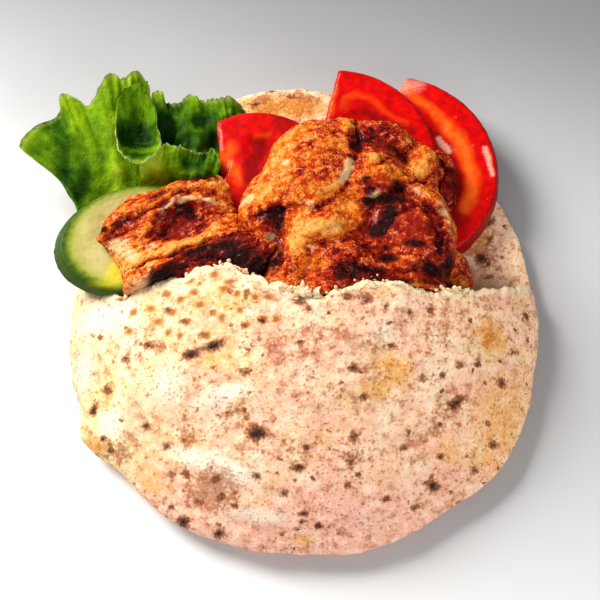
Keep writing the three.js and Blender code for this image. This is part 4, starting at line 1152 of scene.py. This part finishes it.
def build_leaf(node):
    leaf, seed = LEAVES[node], LEAVES[node]["seed"]
    along, across = np.linspace(0, 1, LEAF_ROWS + 1), np.linspace(0, 1, LEAF_COLUMNS + 1)
    u, v = (grid.ravel() for grid in np.meshgrid(along, across, indexing="ij"))

    def ripple(times, lengthwise, more):
        """Noise that changes times times along the margin, and lengthwise times from the base to it."""
        return noise(np.stack([v * times, u * lengthwise, u * 0], axis=1), 1.0, seed + more)

    before, after = (np.clip([u - away, v - away], 0, 1) for away in (LEAF_STEP, -LEAF_STEP))
    along_u = leaf_middle(leaf, after[0], v) - leaf_middle(leaf, before[0], v)
    along_v = leaf_middle(leaf, u, after[1]) - leaf_middle(leaf, u, before[1])
    out = unit(np.cross(along_v, along_u))
    middle = leaf_middle(leaf, u, v)
    crinkle = noise(middle, 7, seed + 1) + 0.5 * noise(middle, 3.2, seed + 2)
    ruffle = ripple(22, 2, 3) * u**4
    uneven = smooth_step(ripple(14, 0, 8), -0.4, 0.8)
    fine_ruffle = ripple(38, 3, 7) * u**8 * uneven
    pleat = np.sin(2 * math.pi * (v * 5 + 0.4 * noise(middle, 20, seed + 4))) * smooth_step(u, 0.1, 0.6)
    domes = grains(middle + 1.2 * noise(middle, 3, seed + 5)[:, None], 5.2, seed + 6)
    vein = leaf_veins(u, v, seed)
    shape = leaf["pleat"] * pleat + leaf["blister"] * (domes - 0.5)
    lift = leaf["crinkle"] * (crinkle + 1.4 * ruffle + 0.4 * fine_ruffle) + shape - 0.3 * vein
    lift *= smooth_step(u, 0.0, 0.3)
    teeth = (0.4 - np.abs(ripple(18, 0, 9))) * 2.4 * u**12
    outward = unit(along_u) * (1.2 * fine_ruffle + 0.5 * teeth)[:, None]
    middle = middle + out * (0.35, 0.35, 1) * lift[:, None] + outward
    thick = out * LEAF_THICK / 2 * (1 + 0.8 * vein[:, None])
    points = np.concatenate([middle + thick, middle - thick])
    faces = leaf_faces(LEAF_ROWS + 1, LEAF_COLUMNS + 1)
    piece = add_piece(node.replace("lettuce", "lettuce_leaf"), points, faces)
    surface = Surface(piece, node)
    # The tone holds the leaves' own greens, and painted shade in folds and hollows and painted highlights on
    # lit margins.
    surface.mark("tone", leaf["tone"] + surface.tones(LEAF_TONE_AND_SHADE[node], 0.7))
    surface.mark("vein", np.tile(vein, 2))
    # Painted light and shade from the blisters and pleats: lighter on top, darker in the hollows.
    surface.mark("raised", np.tile(0.6 * crinkle + 0.8 * shape, 2))
    # The pale rim holds the margin's paler green and a painted highlight along the edge.
    rim = smooth_step(u, 0.965, 1.0) * (1 - smooth_step(middle[:, 1], *leaf.get("rim_ends", WHOLE_RIM)))
    surface.mark("rim", np.tile(rim, 2))
    dress(piece, leaf_finish(), node)


# ---------- putting the pieces in the frame ----------


def dress(piece, material, node):
    piece.data.materials.clear()
    piece.data.materials.append(material)
    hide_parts(node)
    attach(piece, "root")


# ---------- floor and light ----------


def add_floor():
    half = 1500 * MM
    mesh = bpy.data.meshes.new("floor")
    corners = [(-half, -half, 0), (half, -half, 0), (half, half, 0), (-half, half, 0)]
    mesh.from_pydata(corners, [], [(0, 1, 2, 3)])
    floor = bpy.data.objects.new("floor", mesh)
    bpy.context.scene.collection.objects.link(floor)
    paper = Finish("pale_paper")
    x, y = paper.axis(0), paper.axis(1)
    # Painted fall-off of the light: the paper is painted darker towards the far side and towards the right.
    shade = paper.blend((y + x * 0.5).step(-110, 60), 0xFAFAFA, 0xD2D2D3)
    shade = paper.blend((y + x * 0.15).step(30, 150), shade, 0x8A8A8C)
    mesh.materials.append(paper.set(Base_Color=shade, Roughness=0.9, Specular_IOR_Level=0.1))


def add_light(name, place, size, power, colour=(1, 1, 1)):
    """An area light that faces the sandwich. Its place and size are in metres."""
    light = bpy.data.lights.new(name, "AREA")
    light.shape = "RECTANGLE"
    light.size, light.size_y = size
    light.energy = power
    light.color = colour
    lamp = bpy.data.objects.new(name, light)
    bpy.context.scene.collection.objects.link(lamp)
    lamp.location = place
    towards = Vector((0, 0, 0.015)) - Vector(place)
    lamp.rotation_euler = towards.to_track_quat("-Z", "Y").to_euler()
    return lamp


def add_studio():
    """A key light, a fill, and a fill that reaches the food alone, so that the floor keeps its shadow."""
    add_light("key_softbox", (-0.53, 0.43, 0.48), size=(0.4, 0.4), power=12, colour=(1.0, 0.98, 0.95))
    add_light("front_fill", (0.45, -0.85, 0.7), size=(0.9, 0.5), power=4)
    food_fill = add_light("food_fill", (0.6, -0.55, 0.8), size=(0.9, 0.5), power=5.2)
    food = bpy.data.collections.new("food")
    for thing in list(bpy.context.scene.objects):
        if thing.type == "MESH" and thing.name != "floor":
            food.objects.link(thing)
    food_fill.light_linking.receiver_collection = food
    world = bpy.data.worlds.new("studio")
    bpy.context.scene.world = world
    world.use_nodes = True
    background = world.node_tree.nodes["Background"]
    background.inputs["Color"].default_value = (0.82, 0.82, 0.83, 1)
    background.inputs["Strength"].default_value = 0.26
    bpy.context.scene.view_settings.view_transform = "Standard"


add_camera()
add_floor()
build_bread()
build_crumbs()
for number, chicken_node in enumerate(MEAT_CELLS):
    build_chicken(chicken_node, seed=100 + 100 * number)
for number, tomato_node in enumerate(TOMATOES):
    build_tomato(tomato_node, seed=400 + 10 * number)
build_cucumber()
for leaf_node in LEAVES:
    build_leaf(leaf_node)
add_studio()
